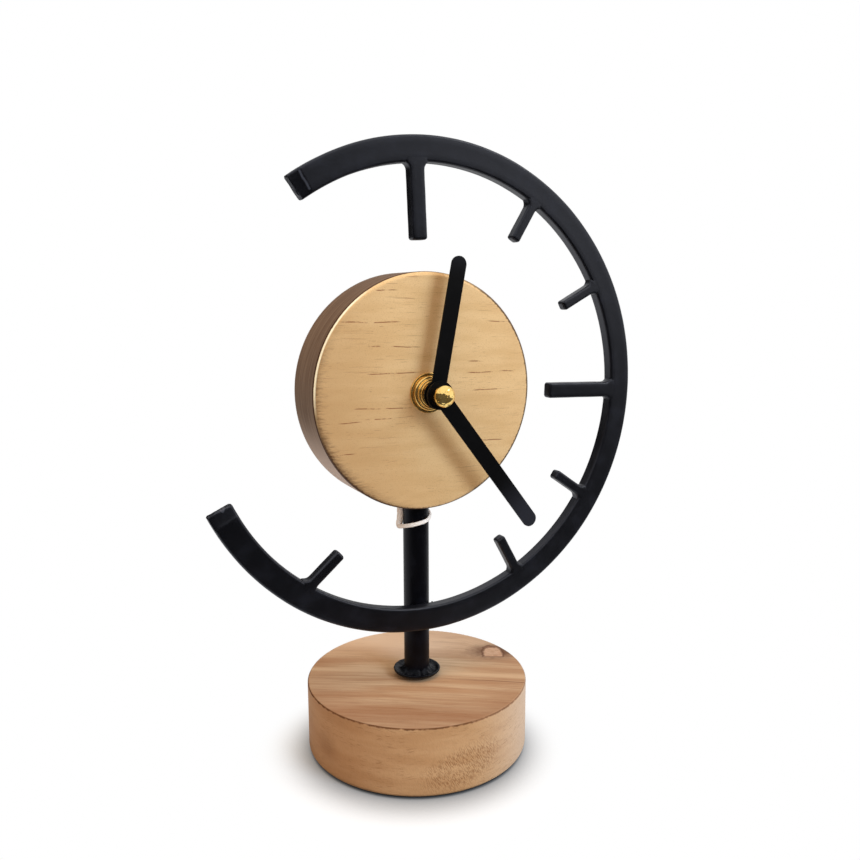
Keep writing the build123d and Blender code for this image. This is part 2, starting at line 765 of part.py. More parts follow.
# Bridge plate on the pillars, which carries the going train's front pivots
with BuildPart() as bridge_plate:
    square_slab(bridge_left, bridge_right, bridge_bottom, bridge_top, bridge_front, bridge_back)
    square_slab(bridge_left, bridge_tab_right, bridge_top, bridge_tab_top, bridge_front, bridge_back)
    for pillar_place in bridge_pillars:
        pin_hole = pillar_pin_radius + running_clearance
        round_slab(pin_hole, bridge_front, bridge_back, pillar_place, Mode.SUBTRACT)
    for pivot_place in (third_place, step_place, rotor_place):
        pivot_hole = pivot_radius + running_clearance
        round_slab(pivot_hole, bridge_front, bridge_back, pivot_place, Mode.SUBTRACT)
    stem_hole = minute_stem_radius + running_clearance
    round_slab(stem_hole, bridge_front, bridge_back, mode=Mode.SUBTRACT)
    set_hole = set_arbor_radius + running_clearance
    round_slab(set_hole, bridge_front, bridge_back, set_place, Mode.SUBTRACT)
bridge_plate.part.label = "bridge_plate"
export_step(bridge_plate.part, "parts/bridge_plate.step")

# Hour wheel with the tube that carries the hour hand
with BuildPart() as hour_wheel:
    gear_slab(hour_teeth, hour_module, hour_phase, hour_layer, hour_layer_back)
    round_slab(hour_tube_radius, hour_tube_front, hour_layer_back)
    tube_bore = minute_stem_radius + running_clearance
    round_slab(tube_bore, hour_tube_front, hour_layer_back, mode=Mode.SUBTRACT)
hour_wheel.part.label = "hour_wheel"
export_step(hour_wheel.part, "parts/hour_wheel.step")

# Minute arbor with its cannon pinion, from the cap nut back to the centre wheel
with BuildPart() as minute_arbor:
    round_slab(minute_stem_radius, minute_hand_front, arbor_back)
    round_slab(arbor_thread_diameter / 2, arbor_front, minute_hand_front)
    gear_slab(cannon_teeth, cannon_module, cannon_phase, motion_layer, motion_layer_back)
    pivot_bore = pivot_radius + running_clearance
    round_slab(pivot_bore, arbor_back - 2 * pivot_depth, arbor_back, mode=Mode.SUBTRACT)
minute_arbor.part.label = "minute_arbor"
export_step(minute_arbor.part, "parts/minute_arbor.step")

# Motion wheel and pinion on the case's post
with BuildPart() as motion_wheel:
    gear_slab(motion_pinion_teeth, hour_module, motion_pinion_phase, hour_layer, motion_layer, motion_place)
    gear_slab(motion_teeth, cannon_module, motion_phase, motion_layer, motion_layer_back, motion_place)
    post_bore = motion_post_radius + running_clearance
    round_slab(post_bore, hour_layer, motion_layer_back, motion_place, Mode.SUBTRACT)
motion_wheel.part.label = "motion_wheel"
export_step(motion_wheel.part, "parts/motion_wheel.step")

# Setting knob, with its pinion on the motion wheel
with BuildPart() as set_knob:
    knob_front = cover_back + set_knob_gap
    knob_back = knob_front + set_knob_length
    gear_slab(set_teeth, cannon_module, set_phase, motion_layer, motion_layer_back, set_place)
    round_slab(set_pivot_radius, case_floor - pivot_depth, motion_layer, set_place)
    round_slab(set_arbor_radius, motion_layer_back, knob_front, set_place)
    round_slab(set_knob_diameter / 2, knob_front, knob_back, set_place)
    for groove in range(set_knob_grooves):
        groove_place = polar(set_knob_diameter / 2, 360.0 * groove / set_knob_grooves, set_place)
        round_slab(set_knob_groove_radius, knob_front, knob_back, groove_place, Mode.SUBTRACT)
set_knob.part.label = "set_knob"
export_step(set_knob.part, "parts/set_knob.step")

# Going train: centre wheel, slipping on the minute arbor
with BuildPart() as centre_wheel:
    gear_slab(centre_teeth, centre_module, centre_phase, centre_layer, centre_layer_back)
    round_slab(2 * minute_stem_radius, bridge_back + pivot_end_gap, centre_layer)
    slip_bore = minute_stem_radius + running_clearance
    round_slab(slip_bore, bridge_back, centre_layer_back, mode=Mode.SUBTRACT)
centre_wheel.part.label = "centre_wheel"
export_step(centre_wheel.part, "parts/centre_wheel.step")

with BuildPart() as third_wheel:
    gear_slab(third_pinion_teeth, centre_module, third_pinion_phase, centre_layer, third_layer, third_place)
    gear_slab(third_teeth, third_module, third_phase, third_layer, third_layer_back, third_place)
    round_slab(train_arbor_radius, bridge_back + pivot_end_gap, centre_layer, third_place)
    round_slab(train_arbor_radius, third_layer_back, cover_front - pivot_end_gap, third_place)
    round_slab(pivot_radius, bridge_front, bridge_back + pivot_end_gap, third_place)
    round_slab(pivot_radius, cover_front - pivot_end_gap, pivot_end, third_place)
third_wheel.part.label = "third_wheel"
export_step(third_wheel.part, "parts/third_wheel.step")

with BuildPart() as second_wheel:
    gear_slab(second_pinion_teeth, third_module, second_pinion_phase, third_layer, second_layer)
    gear_slab(second_teeth, second_module, second_phase, second_layer, second_layer_back)
    round_slab(pivot_radius, arbor_back - pivot_depth, third_layer)
    round_slab(train_arbor_radius, second_layer_back, cover_front - pivot_end_gap)
    round_slab(pivot_radius, cover_front - pivot_end_gap, pivot_end)
second_wheel.part.label = "second_wheel"
export_step(second_wheel.part, "parts/second_wheel.step")

with BuildPart() as step_wheel:
    gear_slab(step_pinion_teeth, second_module, step_pinion_phase, second_layer, step_layer, step_place)
    gear_slab(step_teeth, step_module, step_phase, step_layer, step_layer_back, step_place)
    round_slab(pivot_radius, bridge_front, second_layer, step_place)
    round_slab(train_arbor_radius, step_layer_back, cover_front - pivot_end_gap, step_place)
    round_slab(pivot_radius, cover_front - pivot_end_gap, pivot_end, step_place)
step_wheel.part.label = "step_wheel"
export_step(step_wheel.part, "parts/step_wheel.step")

# Rotor: pinion, arbor and magnet
with BuildPart() as rotor:
    magnet_front = bridge_back + magnet_lift
    gear_slab(rotor_teeth, step_module, rotor_phase, step_layer, step_layer_back, rotor_place)
    round_slab(magnet_radius, magnet_front, magnet_front + magnet_length, rotor_place)
    round_slab(train_arbor_radius, magnet_front + magnet_length, step_layer, rotor_place)
    round_slab(train_arbor_radius, step_layer_back, cover_front - pivot_end_gap, rotor_place)
    round_slab(pivot_radius, bridge_front, magnet_front, rotor_place)
    round_slab(pivot_radius, cover_front - pivot_end_gap, pivot_end, rotor_place)
rotor.part.label = "rotor"
export_step(rotor.part, "parts/rotor.step")

# Stator plate round the rotor, with two legs up to the coil
with BuildPart() as stator:
    round_slab(stator_ring_radius, bridge_back, stator_back, rotor_place)
    square_slab(stator_left, stator_right, stator_arm_bottom, stator_arm_top, bridge_back, stator_back)
    square_slab(stator_left, stator_left + stator_leg_width, stator_arm_bottom, stator_leg_top,
                bridge_back, stator_back)
    square_slab(stator_right - stator_leg_width, stator_right, stator_arm_bottom, stator_leg_top,
                bridge_back, stator_back)
    round_slab(magnet_radius + stator_gap, bridge_back, stator_back, rotor_place, Mode.SUBTRACT)
stator.part.label = "stator"
export_step(stator.part, "parts/stator.step")

# Coil core across the stator's legs, and the coil on it
core_front = stator_back
core_middle = (core_front + core_back) / 2
with BuildPart() as coil_core:
    square_slab(stator_left, stator_right, coil_height - core_width / 2, coil_height + core_width / 2,
                core_front, core_back)
coil_core.part.label = "coil_core"
export_step(coil_core.part, "parts/coil_core.step")

coil_start = stator_left + stator_leg_width + coil_end_gap
coil_end = stator_right - stator_leg_width - coil_end_gap
coil_plane = Plane(origin=(coil_start, core_middle, axis_height + coil_height), z_dir=(1, 0, 0))
with BuildPart() as coil:
    with BuildSketch(coil_plane):
        Circle(coil_diameter / 2)
    extrude(amount=coil_end - coil_start)
    with BuildSketch(coil_plane, coil_plane.offset(coil_end - coil_start - coil_flange_thickness)):
        Circle(coil_flange_diameter / 2)
    extrude(amount=coil_flange_thickness)
    square_slab(coil_start, coil_end, coil_height - core_width / 2 - core_clearance,
                coil_height + core_width / 2 + core_clearance,
                core_front - core_clearance, core_back + core_clearance, Mode.SUBTRACT)
coil.part.label = "coil"
export_step(coil.part, "parts/coil.step")

# Circuit board on its pillars, with the chip's blob, and the crystal can lying on it
board_back = bridge_back + board_thickness
board_middle = (board_left + board_right) / 2
with BuildPart() as circuit_board:
    square_slab(board_left, board_right, -board_half_height, board_half_height, bridge_back, board_back)
    round_slab(chip_radius, board_back, board_back + chip_height, (board_middle, 0.0))
    chip_edge = circuit_board.edges().filter_by(GeomType.CIRCLE).sort_by(Axis.Y)[-1]
    fillet(chip_edge, chip_edge_round)
circuit_board.part.label = "circuit_board"
export_step(circuit_board.part, "parts/circuit_board.step")

with BuildPart() as crystal:
    crystal_start = board_middle - crystal_length / 2
    crystal_height = axis_height + crystal_offset
    with BuildSketch(Plane(origin=(crystal_start, board_back + crystal_radius, crystal_height), z_dir=(1, 0, 0))):
        Circle(crystal_radius)
    extrude(amount=crystal_length)
crystal.part.label = "crystal"
export_step(crystal.part, "parts/crystal.step")

# Battery lying across the bottom of the case
battery_start = -battery_length / 2
battery_plane = Plane(origin=(battery_start, battery_middle, axis_height - battery_drop), z_dir=(1, 0, 0))
with BuildPart() as battery:
    with BuildSketch(battery_plane):
        Circle(battery_radius)
    extrude(amount=battery_length - battery_nub_length)
    fillet(battery.edges().filter_by(GeomType.CIRCLE), battery_edge_round)
    with BuildSketch(battery_plane.offset(battery_length - battery_nub_length)):
        Circle(battery_nub_diameter / 2)
    extrude(amount=battery_nub_length)
battery.part.label = "battery"
export_step(battery.part, "parts/battery.step")

# Battery contacts: plates against the side walls, each with a boss that meets the battery
contact_outer = half_inside - contact_wall_gap
contact_inner = contact_outer - contact_thickness
contact_tip = battery_length / 2 + contact_gap
contact_low = -battery_drop - contact_height / 2
contact_high = -battery_drop + contact_height / 2
with BuildPart() as contact_positive:
    square_slab(contact_inner, contact_outer, contact_low, contact_high, case_floor, cover_front)
    with BuildSketch(Plane(origin=(contact_tip, battery_middle, axis_height - battery_drop), z_dir=(1, 0, 0))):
        Circle(contact_boss_radius)
    extrude(amount=contact_inner - contact_tip)
contact_positive.part.label = "contact_positive"
export_step(contact_positive.part, "parts/contact_positive.step")

with BuildPart() as contact_negative:
    square_slab(-contact_outer, -contact_inner, contact_low, contact_high, case_floor, cover_front)
    with BuildSketch(Plane(origin=(-contact_tip, battery_middle, axis_height - battery_drop), z_dir=(-1, 0, 0))):
        Circle(contact_boss_radius)
    extrude(amount=contact_inner - contact_tip)
contact_negative.part.label = "contact_negative"
export_step(contact_negative.part, "parts/contact_negative.step")

# String tied round the post, with its knot behind
string_points = [Vector(*point) for point in string_route]
string_radii = []
for before, corner, after in zip(string_points, string_points[1:], string_points[2:]):
    turn = (corner - before).get_angle(after - corner)
    shorter_run = min((corner - before).length, (after - corner).length)
    string_radii.append(string_bend_share * shorter_run / math.tan(math.radians(turn / 2)))
with BuildPart() as tag_string:
    with BuildLine() as string_line:
        FilletPolyline(*string_route, radius=string_radii)
    string_start = Plane(origin=string_line.line @ 0, z_dir=string_line.line % 0)
    with BuildSketch(string_start):
        Circle(knot_diameter / 2)
    extrude(amount=-knot_length)
    fillet(tag_string.edges().filter_by(GeomType.CIRCLE), knot_edge_round)
    with BuildSketch(string_start):
        Circle(string_diameter / 2)
    string_tube = sweep(path=string_line.wires()[0])
tube_volume = string_tube.volume
tag_string.part.label = "tag_string"
export_step(tag_string.part, "parts/tag_string.step")
string_section = math.pi * (string_diameter / 2) ** 2
string_length = string_line.wires()[0].length
print("string bend radii", [round(radius, 1) for radius in string_radii])
print("string length", round(string_length, 1))
print("string tube volume", round(tube_volume, 2), "section times length", round(string_section * string_length, 2))
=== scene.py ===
import json
import math

import bmesh
import bpy
from mathutils import Matrix, Vector, noise


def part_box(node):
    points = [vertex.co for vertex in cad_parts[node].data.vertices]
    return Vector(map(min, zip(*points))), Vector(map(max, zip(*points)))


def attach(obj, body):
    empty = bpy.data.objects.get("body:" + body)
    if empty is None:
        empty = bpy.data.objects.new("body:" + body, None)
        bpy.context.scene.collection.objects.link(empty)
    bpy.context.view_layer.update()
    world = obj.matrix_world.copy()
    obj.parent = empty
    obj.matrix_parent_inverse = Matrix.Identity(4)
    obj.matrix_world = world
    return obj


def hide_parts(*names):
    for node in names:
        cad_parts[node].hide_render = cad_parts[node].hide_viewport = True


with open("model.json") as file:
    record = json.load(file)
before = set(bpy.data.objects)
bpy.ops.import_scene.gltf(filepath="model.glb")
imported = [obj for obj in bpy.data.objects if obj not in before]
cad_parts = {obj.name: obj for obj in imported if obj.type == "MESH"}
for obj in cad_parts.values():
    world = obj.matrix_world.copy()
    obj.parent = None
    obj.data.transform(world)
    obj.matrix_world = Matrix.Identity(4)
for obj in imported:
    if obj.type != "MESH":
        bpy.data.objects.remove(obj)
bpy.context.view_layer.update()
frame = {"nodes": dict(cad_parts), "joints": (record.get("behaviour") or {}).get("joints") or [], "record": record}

# Sizes and places, in metres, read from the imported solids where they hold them
MM = 0.001
MM_PER_METRE = 1000.0
joint_of = {joint["name"]: joint for joint in frame["joints"]}
DIAL_MIDDLE = Vector(joint_of["minute_turn"]["pos_m"])
KNOB_MIDDLE = Vector(joint_of["set_turn"]["pos_m"])
base_low, base_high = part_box("base")
face_low, face_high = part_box("face_disc")
ring_low, ring_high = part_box("hour_ring")
weld_low, weld_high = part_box("ring_weld")
battery_low, battery_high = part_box("battery")
FOOT_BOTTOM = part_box("foot_flange")[0].z
COVER_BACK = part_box("back_cover")[1].y

FACE_RADIUS = (face_high.x - face_low.x) / 2
BASE_RADIUS = (base_high.x - base_low.x) / 2
RING_RADIUS = (ring_high.z - ring_low.z) / 2
RING_MIDDLE = Vector((ring_high.x - RING_RADIUS, 0, ring_low.z + RING_RADIUS))
RING_BAR_WIDTH = 9.3 * MM
RING_START = math.radians(-35.5)
RING_END = math.radians(246.0)
MARKERS = ("marker_12", "marker_1", "marker_2", "marker_3", "marker_4", "marker_5", "marker_7")
SHARP_ANGLE = math.radians(38.0)

# Solids whose sharp edges are rounded for the render, and how wide
SOFT_EDGES = [
    (("hour_hand", "minute_hand"), 0.22 * MM),
    (("shaft_nut", "shaft_washer", "cap_nut", "threaded_bush"), 0.18 * MM),
    (("set_knob", "back_cover", "movement_case"), 0.20 * MM),
]

# The string's route, drawn closer to the post than the solid, as the photograph shows it: the turn round the
# post in degrees from +X, the reach from its axis and the height, both in millimetres
STRING_WIDTH = 2.1 * MM
STRING_YARNS = 6
STRING_TURNS = [
    (62.0, 6.1, 93.6),
    (25.0, 5.85, 92.4),
    (-20.0, 5.8, 90.5),
    (-65.0, 5.8, 89.3),
    (-110.0, 5.8, 88.6),
    (-150.0, 5.9, 87.6),
    (-180.0, 6.1, 86.9),
    (-199.0, 6.5, 86.4),
    (-207.0, 6.2, 88.0),
    (-207.0, 5.9, 90.2),
    (-207.0, 5.9, 92.2),
    (-214.0, 6.0, 93.7),
    (-250.0, 6.3, 93.6),
]


def by_post(turn, reach, height):
    angle = math.radians(turn)
    return Vector((reach * math.cos(angle), reach * math.sin(angle), height)) * MM


STRING_ROUTE = [by_post(*step) for step in STRING_TURNS]

# Dashes seen in the face's lacquer: height, start and end from the dial's middle, in millimetres
FACE_DASHES = [
    (36.0, -21.5, -13.0),
    (25.1, -33.0, -12.0),
    (16.7, -24.0, -4.0),
    (7.4, -23.0, -4.0),
    (-5.2, -28.0, -7.0),
    (-9.5, -33.5, -26.5),
    (-8.8, -23.5, -12.0),
    (-20.5, -38.0, -28.5),
    (25.8, 24.5, 32.5),
    (11.2, 16.5, 21.5),
    (7.1, 16.5, 35.0),
    (0.6, 16.5, 31.0),
    (-18.5, 23.0, 31.5),
]

# Light grey lines in the coat at the ring's two ends: painted highlights along the ground-back edge at the top end
# and worn chips at the lower end; start and end, right of and above the origin, in millimetres
RING_HIGHLIGHTS_AND_CHIPS = [
    ((-45.2, 212.8), (-44.3, 210.9)),
    ((-44.3, 210.9), (-43.1, 209.4)),
    ((-43.1, 209.4), (-42.0, 207.3)),
    ((-75.7, 103.9), (-74.4, 102.8)),
    ((-74.4, 102.8), (-73.6, 104.4)),
]


# Camera at the photograph's place
def place_camera():
    photo_width = 860
    focal_pixels = 820.385
    sensor_width = 36.0
    nearest_seen = 0.01
    farthest_seen = 50.0
    place = Vector((-0.129534, -0.274310, 0.171878))
    right = Vector((0.89600, -0.44401, -0.00405))
    up = Vector((0.073862, 0.140048, 0.98737))
    back = right.cross(up)
    lens = bpy.data.cameras.new("photo_camera")
    lens.sensor_width = sensor_width
    lens.lens = focal_pixels / photo_width * sensor_width
    lens.clip_start = nearest_seen
    lens.clip_end = farthest_seen
    camera = bpy.data.objects.new("photo_camera", lens)
    bpy.context.scene.collection.objects.link(camera)
    camera.matrix_world = Matrix.Translation(place) @ Matrix((right, up, back)).transposed().to_4x4()
    bpy.context.scene.camera = camera


# Shader tree words
def linear(red, green, blue):
    """A colour as it looks on a screen, 0 to 255, as the shader's linear colour."""
    shares = [value / 255 for value in (red, green, blue)]
    return tuple(s / 12.92 if s <= 0.04045 else ((s + 0.055) / 1.055) ** 2.4 for s in shares) + (1.0,)


def give(tree, socket, value):
    """Links a socket to another one, or sets it to a number, a colour or a vector."""
    if isinstance(value, bpy.types.NodeSocket):
        tree.links.new(value, socket)
    else:
        socket.default_value = value


def put(tree, kind, inputs=None, **settings):
    """Adds a node with its settings and inputs."""
    made = tree.nodes.new(kind)
    for name, value in settings.items():
        setattr(made, name, value)
    for name, value in (inputs or {}).items():
        give(tree, made.inputs[name], value)
    return made


def count(tree, operation, first, second=0.0, clamp=False):
    inputs = {0: first, 1: second}
    return put(tree, "ShaderNodeMath", inputs, operation=operation, use_clamp=clamp).outputs[0]


def plus(tree, first, second):
    return count(tree, "ADD", first, second)


def minus(tree, first, second, clamp=False):
    return count(tree, "SUBTRACT", first, second, clamp)


def times(tree, first, second):
    return count(tree, "MULTIPLY", first, second)


def larger(tree, first, second):
    return count(tree, "MAXIMUM", first, second)


def band(tree, value, low, high):
    """0 below low, 1 above high, and a smooth step between them."""
    inputs = {"Value": value, "From Min": low, "From Max": high}
    return put(tree, "ShaderNodeMapRange", inputs, interpolation_type="SMOOTHSTEP").outputs["Result"]


def fade(tree, value, low, high):
    """1 below low, 0 above high, and a smooth step between them."""
    return minus(tree, 1.0, band(tree, value, low, high))


def between(tree, share, low, high):
    """A value from low to high, by a share of 0 to 1."""
    inputs = {"Value": share, "To Min": low, "To Max": high}
    return put(tree, "ShaderNodeMapRange", inputs).outputs["Result"]


def tint(tree, share, first, second, strength=1.0):
    """The first colour, going over into the second by a share and a strength."""
    if strength != 1.0:
        share = times(tree, share, strength)
    inputs = {"Factor": share, "A": first, "B": second}
    made = put(tree, "ShaderNodeMix", data_type="RGBA", clamp_factor=True)
    for name, value in inputs.items():
        kind = "VALUE" if name == "Factor" else "RGBA"
        give(tree, next(s for s in made.inputs if s.name == name and s.type == kind), value)
    return next(s for s in made.outputs if s.type == "RGBA")


def combined(tree, x=0.0, y=0.0, z=0.0):
    return put(tree, "ShaderNodeCombineXYZ", {"X": x, "Y": y, "Z": z}).outputs["Vector"]


def axes_of(tree, vector):
    parts = put(tree, "ShaderNodeSeparateXYZ", {"Vector": vector}).outputs
    return parts["X"], parts["Y"], parts["Z"]


def difference(tree, first, second):
    """One vector less another."""
    return put(tree, "ShaderNodeVectorMath", {0: first, 1: second}, operation="SUBTRACT").outputs["Vector"]


def length_of(tree, vector):
    return put(tree, "ShaderNodeVectorMath", {0: vector}, operation="LENGTH").outputs["Value"]


def on_turned_axes(tree, place, turn, middle=(0, 0, 0)):
    """A place as seen along axes turned round a middle."""
    inputs = {"Vector": place, "Center": middle, "Rotation": turn}
    return put(tree, "ShaderNodeVectorRotate", inputs, rotation_type="EULER_XYZ").outputs["Vector"]


def stretched(tree, place, along, across, depth):
    """A place in millimetres, divided by three lengths."""
    shares = (1 / along, 1 / across, 1 / depth)
    return put(tree, "ShaderNodeVectorMath", {0: place, 1: shares}, operation="MULTIPLY").outputs["Vector"]


def speckle(tree, place, scale, detail=2.0, roughness=0.5):
    inputs = {"Vector": place, "Scale": scale, "Detail": detail, "Roughness": roughness}
    return put(tree, "ShaderNodeTexNoise", inputs).outputs["Fac"]


def streaked(tree, place, size, detail=2.0, roughness=0.5):
    """Speckle whose blots have a size along X, Y and Z, in millimetres."""
    return speckle(tree, stretched(tree, place, *size), 1.0, detail, roughness)


def place_in_mm(tree, middle=(0, 0, 0), turn=(0, 0, 0)):
    """The surface point in millimetres, seen from a middle and along turned axes."""
    point = put(tree, "ShaderNodeTexCoord").outputs["Object"]
    size = {0: difference(tree, point, tuple(middle)), "Scale": MM_PER_METRE}
    scaled = put(tree, "ShaderNodeVectorMath", size, operation="SCALE").outputs["Vector"]
    return on_turned_axes(tree, scaled, turn)


def facing(tree):
    """The surface's own direction, in the piece's axes."""
    return axes_of(tree, put(tree, "ShaderNodeTexCoord").outputs["Normal"])


def seen_rays(tree):
    """1 for what the camera sees, straight, mirrored or through glass, and 0 for light on its way."""
    rays = put(tree, "ShaderNodeLightPath").outputs
    seen = larger(tree, rays["Is Camera Ray"], rays["Is Glossy Ray"])
    return larger(tree, seen, rays["Is Transmission Ray"])


def blank_tree(owner):
    """The empty shader tree of a new material or world."""
    owner.use_nodes = True
    owner.node_tree.nodes.clear()
    return owner.node_tree


def blank_material(name):
    material = bpy.data.materials.new(name)
    tree = blank_tree(material)
    shader = put(tree, "ShaderNodeBsdfPrincipled")
    put(tree, "ShaderNodeOutputMaterial", {"Surface": shader.outputs["BSDF"]})
    return material, tree, shader


def feed(tree, shader, **sockets):
    """Sets or links the shader's sockets, named in lower case with _ for a space."""
    names = {socket.name.lower().replace(" ", "_"): socket for socket in shader.inputs}
    for name, value in sockets.items():
        give(tree, names[name], value)


def relief(tree, shader, height, depth_mm, strength=1.0):
    """Bumps of a depth in millimetres."""
    inputs = {"Height": height, "Distance": depth_mm * MM, "Strength": strength}
    tree.links.new(put(tree, "ShaderNodeBump", inputs).outputs["Normal"], shader.inputs["Normal"])


# Shader groups that several finishes share
def new_group(name, inputs, outputs):
    tree = bpy.data.node_groups.new(name, "ShaderNodeTree")
    for label in inputs:
        kind = "NodeSocketVector" if label == "Place" else "NodeSocketFloat"
        tree.interface.new_socket(label, in_out="INPUT", socket_type=kind)
    for label in outputs:
        tree.interface.new_socket(label, in_out="OUTPUT", socket_type="NodeSocketFloat")
    return tree, tree.nodes.new("NodeGroupInput").outputs, tree.nodes.new("NodeGroupOutput").inputs


def use_group(tree, group, **inputs):
    made = tree.nodes.new("ShaderNodeGroup")
    made.node_tree = group
    for name, value in inputs.items():
        give(tree, made.inputs[name.replace("_", " ").title()], value)
    return made.outputs


def grain_streak_group():
    """Broken dark lines along X: Length and Width in millimetres, fewer of them as Rarity rises."""
    tree, given, result = new_group("grain_streaks", ["Place", "Length", "Width", "Rarity"], ["Mask"])
    soft_edge = 0.06
    x, y, z = axes_of(tree, given["Place"])
    lengthwise = count(tree, "DIVIDE", x, given["Length"])
    deep = count(tree, "DIVIDE", y, given["Width"])
    crosswise = count(tree, "DIVIDE", z, given["Width"])
    lines = speckle(tree, combined(tree, lengthwise, deep, crosswise), 1.0, detail=3.0, roughness=0.6)
    full = plus(tree, given["Rarity"], soft_edge)
    tree.links.new(band(tree, lines, given["Rarity"], full), result["Mask"])
    return tree


def growth_ring_group():
    """Early to late wood, ring by ring, round a pith that runs along X."""
    tree, given, result = new_group("growth_rings", ["Place", "Ring Width", "Wobble"], ["Late Wood", "Tone"])
    late_from = 0.25
    late_peak = 0.92
    wave_size = (60.0, 14.0, 14.0)
    _, y, z = axes_of(tree, given["Place"])
    reach = length_of(tree, combined(tree, 0.0, y, z))
    waves = streaked(tree, given["Place"], wave_size)
    bent = plus(tree, reach, times(tree, waves, given["Wobble"]))
    ring = count(tree, "DIVIDE", bent, given["Ring Width"])
    share = count(tree, "FRACT", ring)
    late = times(tree, band(tree, share, late_from, late_peak), fade(tree, share, late_peak, 1.0))
    whole = count(tree, "FLOOR", ring)
    number = put(tree, "ShaderNodeTexWhiteNoise", {"W": whole}, noise_dimensions="1D").outputs["Value"]
    tree.links.new(late, result["Late Wood"])
    tree.links.new(number, result["Tone"])
    return tree


def fine_grain_group():
    """A fine pebbled surface and slow patches, for coats and moulded pieces. Size in millimetres."""
    tree, given, result = new_group("fine_grain", ["Place", "Size"], ["Height", "Patches"])
    patches_per_mm = 0.11
    pebbles = speckle(tree, given["Place"], count(tree, "DIVIDE", 1.0, given["Size"]))
    patches = speckle(tree, given["Place"], patches_per_mm, detail=3.0, roughness=0.6)
    tree.links.new(pebbles, result["Height"])
    tree.links.new(patches, result["Patches"])
    return tree


def tool_mark_group():
    """Fine turned or drawn lines round the Y axis, for metal. Spacing in millimetres."""
    tree, given, result = new_group("tool_marks", ["Place", "Spacing"], ["Lines", "Smudges"])
    smudges_per_mm = 0.35
    x, y, z = axes_of(tree, given["Place"])
    reach = length_of(tree, combined(tree, x, z))
    step = count(tree, "DIVIDE", plus(tree, reach, y), given["Spacing"])
    lines = put(tree, "ShaderNodeTexNoise", {"W": step, "Scale": 1.0, "Detail": 1.0}, noise_dimensions="1D")
    smudges = speckle(tree, given["Place"], smudges_per_mm, detail=3.0, roughness=0.65)
    tree.links.new(lines.outputs["Fac"], result["Lines"])
    tree.links.new(smudges, result["Smudges"])
    return tree


GRAIN_STREAKS = grain_streak_group()
GROWTH_RINGS = growth_ring_group()
FINE_GRAIN = fine_grain_group()
TOOL_MARKS = tool_mark_group()


# Finish of the wooden face
def face_dashes(tree, place):
    """The long dashes in the lacquer, each a thin wavy line between two ends, broken into short strokes."""
    half_from = 0.08
    half_to = 0.26
    end_fade = 1.5
    wave_size = (15.0, 9.0, 9.0)
    wave_height = 0.8
    stroke_size = (5.0, 9.0, 3.0)
    x, _, z = axes_of(tree, place)
    wave = streaked(tree, place, wave_size)
    waved = plus(tree, z, between(tree, wave, -wave_height, wave_height))
    lines = None
    for height, start, end in FACE_DASHES:
        off = count(tree, "ABSOLUTE", minus(tree, waved, height))
        thin = fade(tree, off, half_from, half_to)
        begun = band(tree, x, start - end_fade, start + end_fade)
        ended = band(tree, x, end - end_fade, end + end_fade)
        line = times(tree, thin, minus(tree, begun, ended, clamp=True))
        lines = line if lines is None else larger(tree, lines, line)
    strokes = streaked(tree, place, stroke_size, detail=3.0, roughness=0.7)
    return times(tree, lines, band(tree, strokes, 0.38, 0.54))


def lacquer_streaks(tree, place):
    """Broken lines along the grain: long ones in rows, short ones in patches, and the long dashes."""
    row_size = (30.0, 30.0, 6.0)
    patch_size = (12.0, 12.0, 8.0)
    faintness = 0.7
    long_lines = use_group(tree, GRAIN_STREAKS, place=place, length=14.0, width=0.3, rarity=0.63)["Mask"]
    short_lines = use_group(tree, GRAIN_STREAKS, place=place, length=4.0, width=0.26, rarity=0.63)["Mask"]
    rows = streaked(tree, place, row_size)
    patches = streaked(tree, place, patch_size)
    long_here = times(tree, long_lines, band(tree, rows, 0.44, 0.56))
    short_here = times(tree, short_lines, band(tree, patches, 0.40, 0.60))
    faint = times(tree, larger(tree, long_here, short_here), faintness)
    return larger(tree, faint, face_dashes(tree, place))


def lacquer_ground(tree, place, low_left):
    """Gold in slow clouds with fine brown mottling, and painted shade that browns it towards the lower left; and
    the clouds.
    """
    gold = linear(231, 195, 144)
    deep_gold = linear(220, 181, 129)
    left_shade_gold = linear(184, 142, 96)
    mottle_brown = linear(168, 120, 76)
    cloud_size = (26.0, 9.0, 5.0)
    mottles_per_mm = 2.4
    radius = FACE_RADIUS / MM
    cloud = streaked(tree, place, cloud_size, detail=4.0, roughness=0.6)
    ground = tint(tree, band(tree, cloud, 0.3, 0.7), deep_gold, gold)
    mottle = speckle(tree, place, mottles_per_mm, detail=3.0, roughness=0.7)
    ground = tint(tree, band(tree, mottle, 0.5, 0.72), ground, mottle_brown, strength=0.4)
    # Painted shade: the gold turns browner towards the lower left.
    left_shade_share = band(tree, low_left, -0.1 * radius, 1.05 * radius)
    return tint(tree, left_shade_share, ground, left_shade_gold, strength=0.62), cloud


def face_side_colour(tree, place):
    """Brown side, brushed round and paler underneath, and the brush lines."""
    side_brown = linear(131, 115, 103)
    side_dark = linear(106, 89, 77)
    side_pale = linear(232, 216, 208)
    brush_size = (22.0, 0.8, 22.0)
    radius = FACE_RADIUS / MM
    height = axes_of(tree, place)[2]
    brushed = streaked(tree, place, brush_size, detail=3.0)
    side = tint(tree, band(tree, brushed, 0.3, 0.72), side_dark, side_brown)
    below = band(tree, times(tree, height, -1.0), 0.12 * radius, 0.8 * radius)
    return tint(tree, below, side, side_pale, strength=0.85), brushed


def towards(tree, x, z, right, up):
    """How far a place on the dial lies in a direction, given as its shares to the right and up."""
    return plus(tree, times(tree, x, right), times(tree, z, up))


